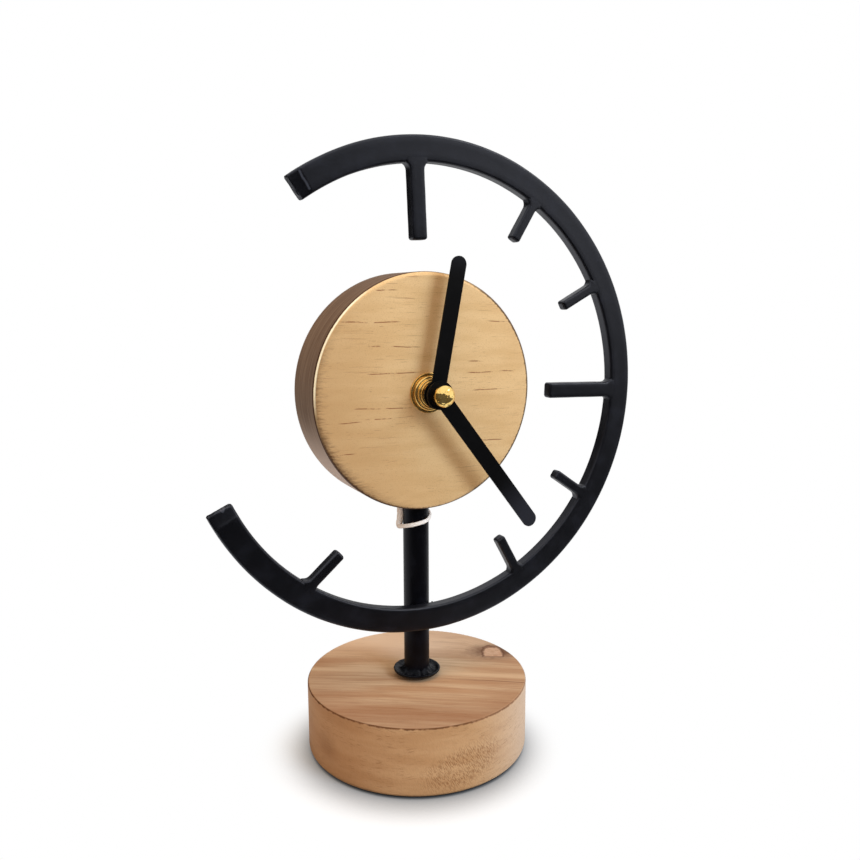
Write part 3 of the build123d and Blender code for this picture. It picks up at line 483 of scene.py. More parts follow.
def face_lacquer():
    """Gold lacquer on wood: dark dashes along the grain, a worn left rim, a brown side, a painted dark rim line
    and painted highlights on the rim at the upper left.
    """
    material, tree, shader = blank_material("face_lacquer")
    streak_brown = linear(118, 66, 38)
    # Brown of the real wear at the lower left, and of the painted shade in the rim line
    wear_and_shade_brown = linear(60, 34, 20)
    rim_highlight_gold = linear(250, 222, 168)
    rim_light = linear(255, 246, 214)
    grain_lean = (0.0, math.radians(-1.2), 0.0)
    wear_size = (4.4, 2.0, 0.7)
    wear_depth = 11.0
    rim_waves_per_mm = 1.3
    rim_widening = 0.65
    pore_size = 0.28
    gilding = 0.25
    radius = FACE_RADIUS / MM
    place = place_in_mm(tree, DIAL_MIDDLE, grain_lean)
    x, _, z = axes_of(tree, place)
    low_left = towards(tree, x, z, right=-0.93, up=-0.37)
    up_left = towards(tree, x, z, right=-0.707, up=0.707)
    to_light = towards(tree, x, z, right=-0.906, up=0.423)
    ground, cloud = lacquer_ground(tree, place, low_left)
    streaks = lacquer_streaks(tree, place)
    side, brushed = face_side_colour(tree, place)

    reach = length_of(tree, combined(tree, x, z))
    worn_side = band(tree, low_left, 0.35 * radius, 0.95 * radius)
    brush = streaked(tree, place, wear_size, detail=5.0, roughness=0.75)
    wear_reach = plus(tree, reach, times(tree, brush, wear_depth))
    worn = times(tree, band(tree, wear_reach, radius + 1.0, radius + 6.4), worn_side)
    # Dark rim line round the face: painted shade on the rounded edge, fading out at the upper left where the edge
    # is lit
    rim_noise = speckle(tree, place, rim_waves_per_mm)
    to_right = times(tree, band(tree, x, 0.0, 0.8 * radius), rim_widening)
    rim_reach = plus(tree, plus(tree, reach, rim_noise), to_right)
    rim_line = band(tree, rim_reach, radius - 0.45, radius + 0.2)
    rim_shade_depth = between(tree, band(tree, up_left, 0.1 * radius, 0.8 * radius), 0.9, 0.05)
    # Painted highlight in pale gold on the rim at the upper left
    rim_highlight_share = times(tree, rim_line, band(tree, up_left, 0.3 * radius, 0.8 * radius))

    normal_y = facing(tree)[1]
    ahead = plus(tree, times(tree, normal_y, -1.0), times(tree, rim_noise, 0.1))
    is_front = band(tree, ahead, 0.46, 0.58)
    edge_line = minus(tree, band(tree, ahead, 0.06, 0.2), is_front, clamp=True)
    # Painted highlight on the rim, on the side towards the light
    lit_side = band(tree, to_light, 0.80 * radius, 0.93 * radius)
    lit_rim = times(tree, lit_side, fade(tree, ahead, 0.78, 0.95))

    front = tint(tree, streaks, ground, streak_brown, strength=0.85)
    front = tint(tree, worn, front, wear_and_shade_brown, strength=0.72)
    # Painted shade: the dark rim line
    front = tint(tree, times(tree, rim_line, rim_shade_depth), front, wear_and_shade_brown)
    front = tint(tree, rim_highlight_share, front, rim_highlight_gold, strength=0.4)
    front = tint(tree, lit_rim, front, rim_light)
    colour = tint(tree, is_front, side, front)
    colour = tint(tree, edge_line, colour, wear_and_shade_brown, strength=0.92)

    matte = times(tree, larger(tree, streaks, worn), 0.2)
    front_rough = plus(tree, between(tree, cloud, 0.36, 0.52), matte)
    side_rough = between(tree, brushed, 0.7, 0.9)
    rough = put(tree, "ShaderNodeMix", {0: is_front, 2: side_rough, 3: front_rough}).outputs[0]
    gilt = times(tree, is_front, minus(tree, gilding, matte))
    pores = use_group(tree, FINE_GRAIN, place=place, size=pore_size)["Height"]
    height = minus(tree, times(tree, pores, 0.5), times(tree, streaks, 0.6))
    feed(tree, shader, base_color=colour, roughness=rough, metallic=gilt, specular_ior_level=0.18)
    relief(tree, shader, height, depth_mm=0.06, strength=0.5)
    return material


# Finish of the wooden base
def knot_masks(tree):
    """The knot on the base's top: its inside, its outline, a stain along the grain and the space near it."""
    knot_middle = Vector((35.8, 2.2, 0.0)) * MM
    knot_turn = (0.0, 0.0, math.radians(26.4))
    half_width = 4.2
    flat_side = -3.2
    arch_height = 10.2
    arch_power = 3.0
    flat_edge = 1.3
    waves_per_mm = 0.5
    stain_length = 15.0
    stain_width = 9.0
    stain_shift = (1.0, 1.8, 0.0)
    from_knot = place_in_mm(tree, knot_middle, knot_turn)
    x, y, _ = axes_of(tree, from_knot)
    rise = minus(tree, y, flat_side)
    shares = []
    for reach, half in ((x, half_width), (rise, arch_height)):
        share = count(tree, "ABSOLUTE", count(tree, "DIVIDE", reach, half))
        shares.append(count(tree, "POWER", share, arch_power))
    arch_reach = count(tree, "POWER", plus(tree, *shares), 1 / arch_power)
    below = minus(tree, 1.0, count(tree, "DIVIDE", rise, flat_edge))
    wave = speckle(tree, from_knot, waves_per_mm)
    shape = plus(tree, larger(tree, arch_reach, below), times(tree, wave, 0.3))
    inside = fade(tree, shape, 1.12, 1.2)
    outline = times(tree, band(tree, shape, 0.96, 1.1), fade(tree, shape, 1.16, 1.34))
    from_stain = difference(tree, from_knot, stain_shift)
    across, deep, _ = axes_of(tree, stretched(tree, from_stain, stain_length, stain_width, 1.0))
    stain_reach = length_of(tree, combined(tree, across, deep))
    stain = fade(tree, plus(tree, stain_reach, times(tree, wave, 0.5)), 0.45, 1.3)
    near = fade(tree, shape, 0.6, 3.2)
    return inside, outline, stain, near


def base_top_colour(tree):
    """Oiled softwood along a slightly bowed grain, with painted light towards the back and painted shade towards
    the left: its colour, its height and its fibres.
    """
    honey = linear(183, 147, 115)
    cream = linear(214, 190, 160)
    late_brown = linear(154, 114, 84)
    front_brown = linear(136, 97, 72)
    left_shade_brown = linear(150, 110, 82)
    right_brown = linear(158, 124, 98)
    back_light_cream = linear(238, 216, 194)
    line_brown = linear(112, 72, 48)
    knot_pink = linear(216, 184, 158)
    knot_shade = linear(186, 146, 120)
    knot_dark = linear(92, 56, 40)
    stain_brown = linear(98, 62, 44)
    grain_turn = (0.0, 0.0, math.radians(29.0))
    pith = Vector((0.0, 64.0, -38.0)) * MM
    pull_depth = 6.0
    bow = 0.0006
    bow_middle = -5.0
    cream_line = 1.6
    dark_line = -4.7
    fibre_size = (26.0, 0.6, 0.6)
    cloud_size = (50.0, 6.0, 6.0)
    knot_grain_size = (3.2, 0.9, 0.9)
    inside, outline, stain, near = knot_masks(tree)
    place = place_in_mm(tree, pith, grain_turn)
    along, across, deep = axes_of(tree, place)
    off_middle = minus(tree, along, bow_middle)
    bowing = times(tree, times(tree, off_middle, off_middle), bow)
    bent = plus(tree, plus(tree, across, bowing), times(tree, near, pull_depth))
    bowed = combined(tree, along, bent, deep)
    growth = use_group(tree, GROWTH_RINGS, place=bowed, ring_width=2.1, wobble=6.0)
    fibres = streaked(tree, bowed, fibre_size, detail=5.0, roughness=0.75)
    cloud = streaked(tree, bowed, cloud_size, detail=3.0)
    late = times(tree, growth["Late Wood"], between(tree, growth["Tone"], 0.02, 0.34))
    top = tint(tree, band(tree, cloud, 0.34, 0.72), honey, cream)
    top = tint(tree, late, top, late_brown)
    top = tint(tree, band(tree, fibres, 0.44, 0.68), top, late_brown, strength=0.5)

    right, back, _ = axes_of(tree, place_in_mm(tree, turn=grain_turn))
    to_front = band(tree, times(tree, back, -1.0), 8.0, 36.0)
    to_back = band(tree, back, 4.0, 30.0)
    to_right = band(tree, right, 10.0, 42.0)
    left_shade_share = band(tree, times(tree, right, -1.0), 8.0, 40.0)
    # Painted light towards the back, most at the left, and painted shade towards the left, less at the back
    back_light_share = between(tree, band(tree, right, -6.0, 18.0), 0.95, 0.4)
    left_shade_strength = between(tree, to_back, 0.36, 0.1)
    from_cream = minus(tree, plus(tree, back, bowing), cream_line)
    in_cream = fade(tree, count(tree, "ABSOLUTE", from_cream), 0.5, 3.0)
    tones = [
        (to_front, front_brown, 0.6),
        (times(tree, to_back, back_light_share), back_light_cream, 1.0),
        (to_right, right_brown, 0.5),
        (times(tree, left_shade_share, left_shade_strength), left_shade_brown, 1.0),
        (in_cream, cream, 0.6),
    ]
    for share, tone, strength in tones:
        top = tint(tree, share, top, tone, strength)

    lines = use_group(tree, GRAIN_STREAKS, place=bowed, length=18.0, width=0.42, rarity=0.615)["Mask"]
    off_line = count(tree, "ABSOLUTE", minus(tree, from_cream, dark_line))
    one_line = times(tree, fade(tree, off_line, 0.12, 0.4), band(tree, right, 8.0, 34.0))
    dark_lines = larger(tree, times(tree, lines, 0.45), times(tree, one_line, 0.8))
    top = tint(tree, dark_lines, top, line_brown)

    top = tint(tree, stain, top, stain_brown, strength=0.8)
    knot_grain = streaked(tree, place, knot_grain_size, detail=4.0, roughness=0.7)
    knot_wood = tint(tree, band(tree, knot_grain, 0.38, 0.68), knot_pink, knot_shade)
    top = tint(tree, inside, top, knot_wood)
    top = tint(tree, outline, top, knot_dark, strength=0.72)
    height = minus(tree, times(tree, fibres, 0.5), late)
    return top, height, fibres


def end_grain_pores(tree, unrolled, place):
    """Leaning strokes in a slanted patch of end grain at the front, and a few all round."""
    pore_lean = (0.0, math.radians(-64.0), 0.0)
    pore_size = (1.8, 1.0, 0.32)
    uneven_size = (14.0, 14.0, 8.0)
    patch_lean = (0.0, math.radians(15.0), 0.0)
    patch_middle = (-2.0, 0.0, 10.3)
    patch_length = 17.0
    patch_height = 8.0
    least = 0.17
    strokes = streaked(tree, on_turned_axes(tree, unrolled, pore_lean), pore_size, detail=1.0)
    uneven = streaked(tree, place, uneven_size)
    from_patch = difference(tree, on_turned_axes(tree, unrolled, patch_lean, patch_middle), patch_middle)
    patch_reach = length_of(tree, stretched(tree, from_patch, patch_length, 1.0, patch_height))
    in_patch = times(tree, fade(tree, patch_reach, 0.55, 1.25), band(tree, uneven, 0.2, 0.5))
    return times(tree, band(tree, strokes, 0.46, 0.6), larger(tree, in_patch, least))


def base_side_colour(tree, arc, place):
    """Tan side with faint level bands, short level lines and end grain, painted shade towards the left and painted
    light towards the right: its colour and its marks.
    """
    side_tan = linear(190, 151, 111)
    side_shade = linear(177, 136, 96)
    left_shade_brown = linear(168, 120, 84)
    right_light_cream = linear(214, 190, 168)
    mark_brown = linear(124, 82, 50)
    smudge_middle = (-56.0, 0.0, 12.0)
    cloud_size = (34.0, 34.0, 5.0)
    wave_size = (16.0, 16.0, 6.0)
    wave_height = 3.0
    line_patch_size = (18.0, 18.0, 7.0)
    half_round = math.pi * BASE_RADIUS / MM
    height = axes_of(tree, place)[2]
    from_back = minus(tree, half_round, count(tree, "ABSOLUTE", arc))
    not_back = band(tree, from_back, 2.0, 50.0)
    off_seam = band(tree, from_back, 0.5, 6.0)
    unrolled = combined(tree, arc, 0.0, height)
    cloud = streaked(tree, place, cloud_size, detail=3.0)
    left_shade_share = times(tree, band(tree, times(tree, arc, -1.0), 16.0, 52.0), not_back)
    to_right = times(tree, band(tree, arc, -2.0, 40.0), not_back)
    smudge = fade(tree, length_of(tree, difference(tree, unrolled, smudge_middle)), 1.0, 8.0)
    side = tint(tree, band(tree, cloud, 0.35, 0.68), side_shade, side_tan)
    # Painted shade towards the left of the side and painted light towards the right
    side = tint(tree, left_shade_share, side, left_shade_brown, strength=0.32)
    side = tint(tree, to_right, side, right_light_cream, strength=0.78)
    side = tint(tree, smudge, side, mark_brown, strength=0.3)

    wave = streaked(tree, place, wave_size)
    waved = combined(tree, arc, 0.0, plus(tree, height, times(tree, wave, wave_height)))
    lines = use_group(tree, GRAIN_STREAKS, place=waved, length=3.8, width=0.36, rarity=0.56)["Mask"]
    line_patch = streaked(tree, place, line_patch_size)
    lines_here = times(tree, lines, larger(tree, band(tree, line_patch, 0.38, 0.6), smudge))
    pores = end_grain_pores(tree, unrolled, place)
    marks = times(tree, larger(tree, pores, times(tree, lines_here, 0.62)), off_seam)
    return tint(tree, marks, side, mark_brown, strength=0.58), marks


def base_timber():
    """Oiled softwood: grain and a knot on the top, a tan side with open pores, and a dark rim between."""
    material, tree, shader = blank_material("base_timber")
    edge_brown = linear(92, 58, 36)
    edge_waves_per_mm = 0.5
    edge_wave_height = 1.2
    mark_depth = 1.2
    top_height = base_high.z / MM
    place = place_in_mm(tree)
    x, y, z = axes_of(tree, place)
    normal_z = facing(tree)[2]
    is_top = band(tree, normal_z, 0.45, 0.7)
    top, top_relief, fibres = base_top_colour(tree)
    turn = count(tree, "ARCTAN2", x, times(tree, y, -1.0))
    arc = times(tree, turn, BASE_RADIUS / MM)
    side, marks = base_side_colour(tree, arc, place)

    colour = tint(tree, is_top, side, top)
    edge_noise = speckle(tree, place, edge_waves_per_mm, detail=3.0)
    edge_height = plus(tree, z, times(tree, edge_noise, edge_wave_height))
    rim = band(tree, edge_height, top_height - 0.25, top_height + 0.35)
    rim = times(tree, rim, fade(tree, normal_z, 0.7, 0.98))
    rim_share = between(tree, band(tree, arc, -12.0, 46.0), 0.95, 0.5)
    colour = tint(tree, times(tree, rim, rim_share), colour, edge_brown)
    rough = between(tree, fibres, 0.5, 0.7)
    height = minus(tree, times(tree, top_relief, is_top), times(tree, marks, mark_depth))
    feed(tree, shader, base_color=colour, roughness=rough, specular_ior_level=0.12)
    relief(tree, shader, height, depth_mm=0.08, strength=0.6)
    return material


# Finishes of the black steel
def highlight_and_chip_mask(tree, place, highlights_and_chips):
    """Thin lines in a coat, each between two places (right, up) in millimetres: on the ring, painted highlights
    and worn chips.
    """
    half_from = 0.1
    half_to = 0.55
    x, _, z = axes_of(tree, place)
    flat = combined(tree, x, 0.0, z)
    mask = None
    for (start_right, start_up), (end_right, end_up) in highlights_and_chips:
        start = Vector((start_right, 0.0, start_up))
        run = Vector((end_right, 0.0, end_up)) - start
        away = difference(tree, flat, start)
        line_up = {0: away, 1: run / run.length_squared}
        along = put(tree, "ShaderNodeVectorMath", line_up, operation="DOT_PRODUCT").outputs["Value"]
        on_run = {0: run, "Scale": count(tree, "ADD", along, 0.0, clamp=True)}
        nearest = put(tree, "ShaderNodeVectorMath", on_run, operation="SCALE").outputs["Vector"]
        line = fade(tree, length_of(tree, difference(tree, away, nearest)), half_from, half_to)
        mask = line if mask is None else larger(tree, mask, line)
    return mask


def black_coat(name, shine, highlights_and_chips=()):
    """Satin black coat, faintly blue, over hand-dressed steel, with light grey lines where given: painted
    highlights and worn chips.
    """
    material, tree, shader = blank_material(name)
    coat_black = linear(7, 7, 10)
    rubbed_black = linear(15, 16, 22)
    highlight_and_chip_grey = linear(92, 96, 108)
    blue_shine = (0.80, 0.84, 1.0, 1.0)
    grain_size = 0.35
    grain_depth = 0.12
    waves_per_mm = 0.22
    place = place_in_mm(tree)
    grain = use_group(tree, FINE_GRAIN, place=place, size=grain_size)
    colour = tint(tree, band(tree, grain["Patches"], 0.45, 0.75), coat_black, rubbed_black)
    # Painted highlights and worn chips, in light grey
    if highlights_and_chips:
        colour = tint(tree, highlight_and_chip_mask(tree, place, highlights_and_chips), colour, highlight_and_chip_grey, strength=0.36)
    rough = between(tree, grain["Patches"], 0.32, 0.5)
    height = plus(tree, times(tree, grain["Height"], grain_depth), speckle(tree, place, waves_per_mm))
    feed(tree, shader, base_color=colour, roughness=rough, specular_ior_level=shine, specular_tint=blue_shine)
    relief(tree, shader, height, depth_mm=0.1, strength=0.35)
    return material


def weld_coat():
    """The same coat over a weld: lumpy, with small bluish bright points."""
    material, tree, shader = blank_material("weld_coat")
    coat_black = linear(6, 6, 9)
    rubbed_blue = linear(18, 20, 28)
    blue_shine = (0.78, 0.85, 1.0, 1.0)
    lumps_per_mm = 0.9
    grain_size = 0.3
    place = place_in_mm(tree)
    lumps = speckle(tree, place, lumps_per_mm, detail=3.0, roughness=0.6)
    grain = use_group(tree, FINE_GRAIN, place=place, size=grain_size)
    colour = tint(tree, band(tree, lumps, 0.55, 0.8), coat_black, rubbed_blue)
    rough = between(tree, grain["Patches"], 0.26, 0.42)
    feed(tree, shader, base_color=colour, roughness=rough, specular_ior_level=0.16, specular_tint=blue_shine)
    relief(tree, shader, lumps, depth_mm=0.34, strength=0.7)
    return material


def hand_coat():
    """Matte black paint on thin stamped hands, a little greyer far from the hub."""
    material, tree, shader = blank_material("hand_coat")
    paint_black = linear(7, 7, 8)
    worn_black = linear(12, 12, 13)
    tip_grey = linear(40, 41, 48)
    tip_from = 40.0
    tip_to = 60.0
    grain_size = 0.16
    place = place_in_mm(tree, DIAL_MIDDLE)
    x, _, z = axes_of(tree, place)
    reach = length_of(tree, combined(tree, x, z))
    grain = use_group(tree, FINE_GRAIN, place=place, size=grain_size)
    colour = tint(tree, band(tree, grain["Patches"], 0.45, 0.8), paint_black, worn_black)
    colour = tint(tree, band(tree, reach, tip_from, tip_to), colour, tip_grey, strength=0.8)
    rough = between(tree, grain["Patches"], 0.4, 0.55)
    feed(tree, shader, base_color=colour, roughness=rough, specular_ior_level=0.12)
    relief(tree, shader, grain["Height"], depth_mm=0.012, strength=0.5)
    return material


# Finishes of the metal, plastic, board, battery and string
def turned_metal(name, bright, dull, smooth, rough, middle, metal=1.0, hammered=0.0):
    """Turned or drawn metal with fine lines and smudges, and shallow dents if hammered."""
    material, tree, shader = blank_material(name)
    line_spacing = 0.09
    line_depth = 0.006
    dents_per_mm = 0.7
    place = place_in_mm(tree, middle)
    marks = use_group(tree, TOOL_MARKS, place=place, spacing=line_spacing)
    colour = tint(tree, band(tree, marks["Smudges"], 0.4, 0.75), bright, dull)
    worn = between(tree, band(tree, marks["Smudges"], 0.35, 0.75), smooth, rough)
    dents = times(tree, speckle(tree, place, dents_per_mm, detail=1.0), hammered)
    height = plus(tree, times(tree, marks["Lines"], line_depth), dents)
    feed(tree, shader, base_color=colour, metallic=metal, roughness=worn)
    relief(tree, shader, height, depth_mm=1.0, strength=0.35)
    return material


def moulded(name, main, patch, grain_size, depth, smooth, rough):
    """Moulded plastic or rubber with a fine texture."""
    material, tree, shader = blank_material(name)
    grain = use_group(tree, FINE_GRAIN, place=place_in_mm(tree), size=grain_size)
    colour = tint(tree, band(tree, grain["Patches"], 0.35, 0.75), main, patch)
    roughness = between(tree, grain["Patches"], smooth, rough)
    feed(tree, shader, base_color=colour, roughness=roughness, specular_ior_level=0.4)
    relief(tree, shader, grain["Height"], depth_mm=depth, strength=0.6)
    return material


def copper_winding():
    """Enamelled wire, turn beside turn along X, with painted shade in the grooves and painted light on the crests.
    """
    material, tree, shader = blank_material("copper_winding")
    lit_crest_copper = linear(205, 120, 66)
    shaded_groove_copper = linear(120, 58, 30)
    wire = 0.14
    x = axes_of(tree, place_in_mm(tree))[0]
    turns = times(tree, x, 2 * math.pi / wire)
    ridge = times(tree, plus(tree, count(tree, "SINE", turns), 1.0), 0.5)
    # Painted shade in the grooves between turns and painted light on their crests
    colour = tint(tree, ridge, shaded_groove_copper, lit_crest_copper)
    feed(tree, shader, base_color=colour, metallic=0.9, roughness=between(tree, ridge, 0.42, 0.25))
    relief(tree, shader, ridge, depth_mm=0.04)
    return material


def board_finish():
    """Green lacquered board with raised tracks."""
    material, tree, shader = blank_material("board_finish")
    board_green = linear(34, 92, 52)
    track_green = linear(52, 122, 70)
    tracks_per_mm = 0.55
    inputs = {"Vector": place_in_mm(tree), "Scale": tracks_per_mm}
    cells = put(tree, "ShaderNodeTexVoronoi", inputs, distance="MANHATTAN")
    tracks = band(tree, cells.outputs["Distance"], 0.3, 0.34)
    colour = tint(tree, tracks, board_green, track_green)
    feed(tree, shader, base_color=colour, roughness=between(tree, tracks, 0.3, 0.42))
    relief(tree, shader, tracks, depth_mm=0.03)
    return material


def battery_wrap():
    """Plain dark shrink wrap with one pale band, and bare metal ends."""
    material, tree, shader = blank_material("battery_wrap")
    wrap_grey = linear(58, 62, 68)
    band_pale = linear(196, 198, 196)
    end_metal = linear(190, 190, 188)
    half_band = 4.5
    wrap_ends = 2.3
    crisp = 0.1
    grain_size = 0.6
    half = (battery_high.x - battery_low.x) / 2 / MM
    place = place_in_mm(tree, (battery_low + battery_high) / 2)
    x = axes_of(tree, place)[0]
    is_end = band(tree, count(tree, "ABSOLUTE", x), half - wrap_ends, half - wrap_ends + crisp)
    from_band = count(tree, "ABSOLUTE", plus(tree, x, half / 2))
    is_band = fade(tree, from_band, half_band, half_band + crisp)
    smudge = use_group(tree, FINE_GRAIN, place=place, size=grain_size)
    colour = tint(tree, is_band, wrap_grey, band_pale)
    colour = tint(tree, is_end, colour, end_metal)
    rough = between(tree, smudge["Patches"], 0.24, 0.42)
    feed(tree, shader, base_color=colour, metallic=is_end, roughness=rough)
    relief(tree, shader, smudge["Height"], depth_mm=0.02, strength=0.4)
    return material


def cotton():
    """Off-white cotton yarn with fine fibres."""
    material, tree, shader = blank_material("cotton")
    clean = linear(253, 248, 242)
    shaded = linear(234, 221, 211)
    fibre_size = (0.5, 0.5, 0.16)
    fibres = streaked(tree, place_in_mm(tree), fibre_size, detail=3.0)
    colour = tint(tree, band(tree, fibres, 0.35, 0.7), shaded, clean)
    feed(tree, shader, base_color=colour, roughness=between(tree, fibres, 0.78, 0.95))
    feed(tree, shader, specular_ior_level=0.2, sheen_weight=0.3)
    relief(tree, shader, fibres, depth_mm=0.05, strength=0.7)
    return material


RING_SHINE = 0.66
POST_SHINE = 0.16
FACE_LACQUER = face_lacquer()
BASE_TIMBER = base_timber()
BLACK_COAT = black_coat("black_coat", RING_SHINE)
RING_COAT = black_coat("ring_coat", RING_SHINE, RING_HIGHLIGHTS_AND_CHIPS)
POST_COAT = black_coat("post_coat", POST_SHINE)
WELD_COAT = weld_coat()
HAND_COAT = hand_coat()
BRASS = turned_metal("polished_brass", linear(255, 220, 136), linear(240, 188, 90),
                     smooth=0.07, rough=0.15, middle=DIAL_MIDDLE, metal=0.9, hammered=0.9)
SATIN_BRASS = turned_metal("satin_brass", linear(255, 216, 134), linear(226, 170, 90),
                           smooth=0.12, rough=0.24, middle=DIAL_MIDDLE, metal=0.88)
ZINC = turned_metal("zinc_plate", linear(198, 200, 204), linear(164, 166, 170),
                    smooth=0.24, rough=0.45, middle=(0, 0, 0))
PAD_FOAM = moulded("pad_foam", linear(52, 52, 54), linear(70, 70, 72),
                   grain_size=0.5, depth=0.12, smooth=0.85, rough=0.98)
GASKET_RUBBER = moulded("gasket_rubber", linear(26, 26, 27), linear(38, 38, 40),
                        grain_size=0.4, depth=0.03, smooth=0.6, rough=0.8)
CASE_PLASTIC = moulded("case_plastic", linear(30, 30, 32), linear(42, 42, 45),
                       grain_size=0.22, depth=0.03, smooth=0.42, rough=0.62)
GEAR_PLASTIC = moulded("gear_plastic", linear(228, 224, 212), linear(240, 237, 228),
                       grain_size=0.5, depth=0.01, smooth=0.3, rough=0.42)
COPPER_WINDING = copper_winding()
BOARD_FINISH = board_finish()
BATTERY_WRAP = battery_wrap()
COTTON = cotton()

SLOT_FINISH = {
    "base_wood": BASE_TIMBER,
    "face_wood": FACE_LACQUER,
    "pad": PAD_FOAM,
    "black_steel": BLACK_COAT,
    "hand_black": HAND_COAT,
    "bare_steel": ZINC,
    "brass": BRASS,
    "gasket_rubber": GASKET_RUBBER,
    "case_plastic": CASE_PLASTIC,
    "gear_plastic": GEAR_PLASTIC,
    "copper_wire": COPPER_WINDING,
    "board": BOARD_FINISH,
    "battery_wrap": BATTERY_WRAP,
    "string": COTTON,
}
NODE_FINISH = {"post": POST_COAT, "shaft_nut": SATIN_BRASS, "shaft_washer": SATIN_BRASS}


def dress_solids():
    """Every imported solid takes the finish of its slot, or its own."""
    for subpart in frame["record"]["subparts"]:
        mesh = frame["nodes"][subpart["node"]].data
        mesh.materials.clear()
        mesh.materials.append(NODE_FINISH.get(subpart["node"], SLOT_FINISH[subpart["material_slot"]]))


def soften_edges(node, width):
    """Rounds a solid's sharp edges for the render, without moving its points."""
    merge_reach = 0.002 * MM
    round_steps = 3
    sharpest_left = math.radians(40.0)
    solid = frame["nodes"][node]
    weld = solid.modifiers.new("weld", "WELD")
    weld.merge_threshold = merge_reach
    bevel = solid.modifiers.new("bevel", "BEVEL")
    bevel.width = width
    bevel.segments = round_steps
    bevel.limit_method = "ANGLE"
    bevel.angle_limit = sharpest_left
    shading = solid.modifiers.new("shading", "WEIGHTED_NORMAL")
    shading.keep_sharp = False


# Mesh words
def new_piece(name, points, faces, material, body, replaced=()):
    """A smooth mesh with sharp edges kept, riding on a body."""
    mesh = bpy.data.meshes.new(name)
    mesh.from_pydata([tuple(point) for point in points], [], faces)
    work = bmesh.new()
    work.from_mesh(mesh)
    bmesh.ops.recalc_face_normals(work, faces=work.faces)
    work.to_mesh(mesh)
    work.free()
    for polygon in mesh.polygons:
        polygon.use_smooth = True
    mesh.set_sharp_from_angle(angle=SHARP_ANGLE)
    mesh.materials.append(material)
    piece = bpy.data.objects.new(name, mesh)
    bpy.context.scene.collection.objects.link(piece)
    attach(piece, body)
    if replaced:
        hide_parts(*replaced)
    return piece


def loft(rings, closed=False):
    """Points and faces of a skin over rings of points, capped at its ends or closed on itself."""
    around = len(rings[0])
    points = [point for ring in rings for point in ring]
    faces = []
    spans = len(rings) if closed else len(rings) - 1
    for span in range(spans):
        here = span * around
        there = (span + 1) % len(rings) * around
        for step in range(around):
            after = (step + 1) % around
            faces.append((here + step, here + after, there + after, there + step))
    if not closed:
        last = (len(rings) - 1) * around
        faces.append(tuple(reversed(range(around))))
        faces.append(tuple(range(last, last + around)))
    return points, faces


def joined(parts):
    """Several lots of points and faces as one."""
    points, faces = [], []
    for some_points, some_faces in parts:
        start = len(points)
        points.extend(some_points)
        faces.extend(tuple(start + index for index in face) for face in some_faces)
    return points, faces


def rounded_bar(width, depth, corner, corner_steps=5, flat_steps=4):
    """A bar's outline: points (across, deep) round a rectangle with round corners."""
    outline = []
    half_width = width / 2 - corner
    half_depth = depth / 2 - corner
    corners = [(1, 1), (-1, 1), (-1, -1), (1, -1)]
    for quarter, (side, face) in enumerate(corners):
        for step in range(corner_steps + 1):
            angle = math.radians(90 * quarter + 90 * step / corner_steps)
            across = side * half_width + corner * math.cos(angle)
            deep = face * half_depth + corner * math.sin(angle)
            outline.append((across, deep))
        next_side, next_face = corners[(quarter + 1) % len(corners)]
        angle = math.radians(90 * (quarter + 1))
        end_across = next_side * half_width + corner * math.cos(angle)
        end_deep = next_face * half_depth + corner * math.sin(angle)
        last_across, last_deep = outline[-1]
        for step in range(1, flat_steps):
            share = step / flat_steps
            outline.append((last_across + (end_across - last_across) * share,
                            last_deep + (end_deep - last_deep) * share))
    return outline


def turned(profile, middle, along, steps, lump, lump_size):
    """A lumpy skin turned round an axis, from a closed outline of (radius, height, share of the lumps)."""
    along = Vector(along).normalized()
    side = along.orthogonal().normalized()
    front = along.cross(side)
    rings = []
    for step in range(steps):
        angle = 2 * math.pi * step / steps
        out = side * math.cos(angle) + front * math.sin(angle)
        ring = []
        for radius, height, weight in profile:
            point = Vector(middle) + out * radius + along * height
            swell = noise.noise(point / lump_size) * lump * weight
            ring.append(point + (out + along) * swell)
        rings.append(ring)
    return loft(rings, closed=True)


# Black steel ring, its markers and welds
def ring_point(clock, reach, deep):
    return RING_MIDDLE + Vector((reach * math.sin(clock), deep, reach * math.cos(clock)))


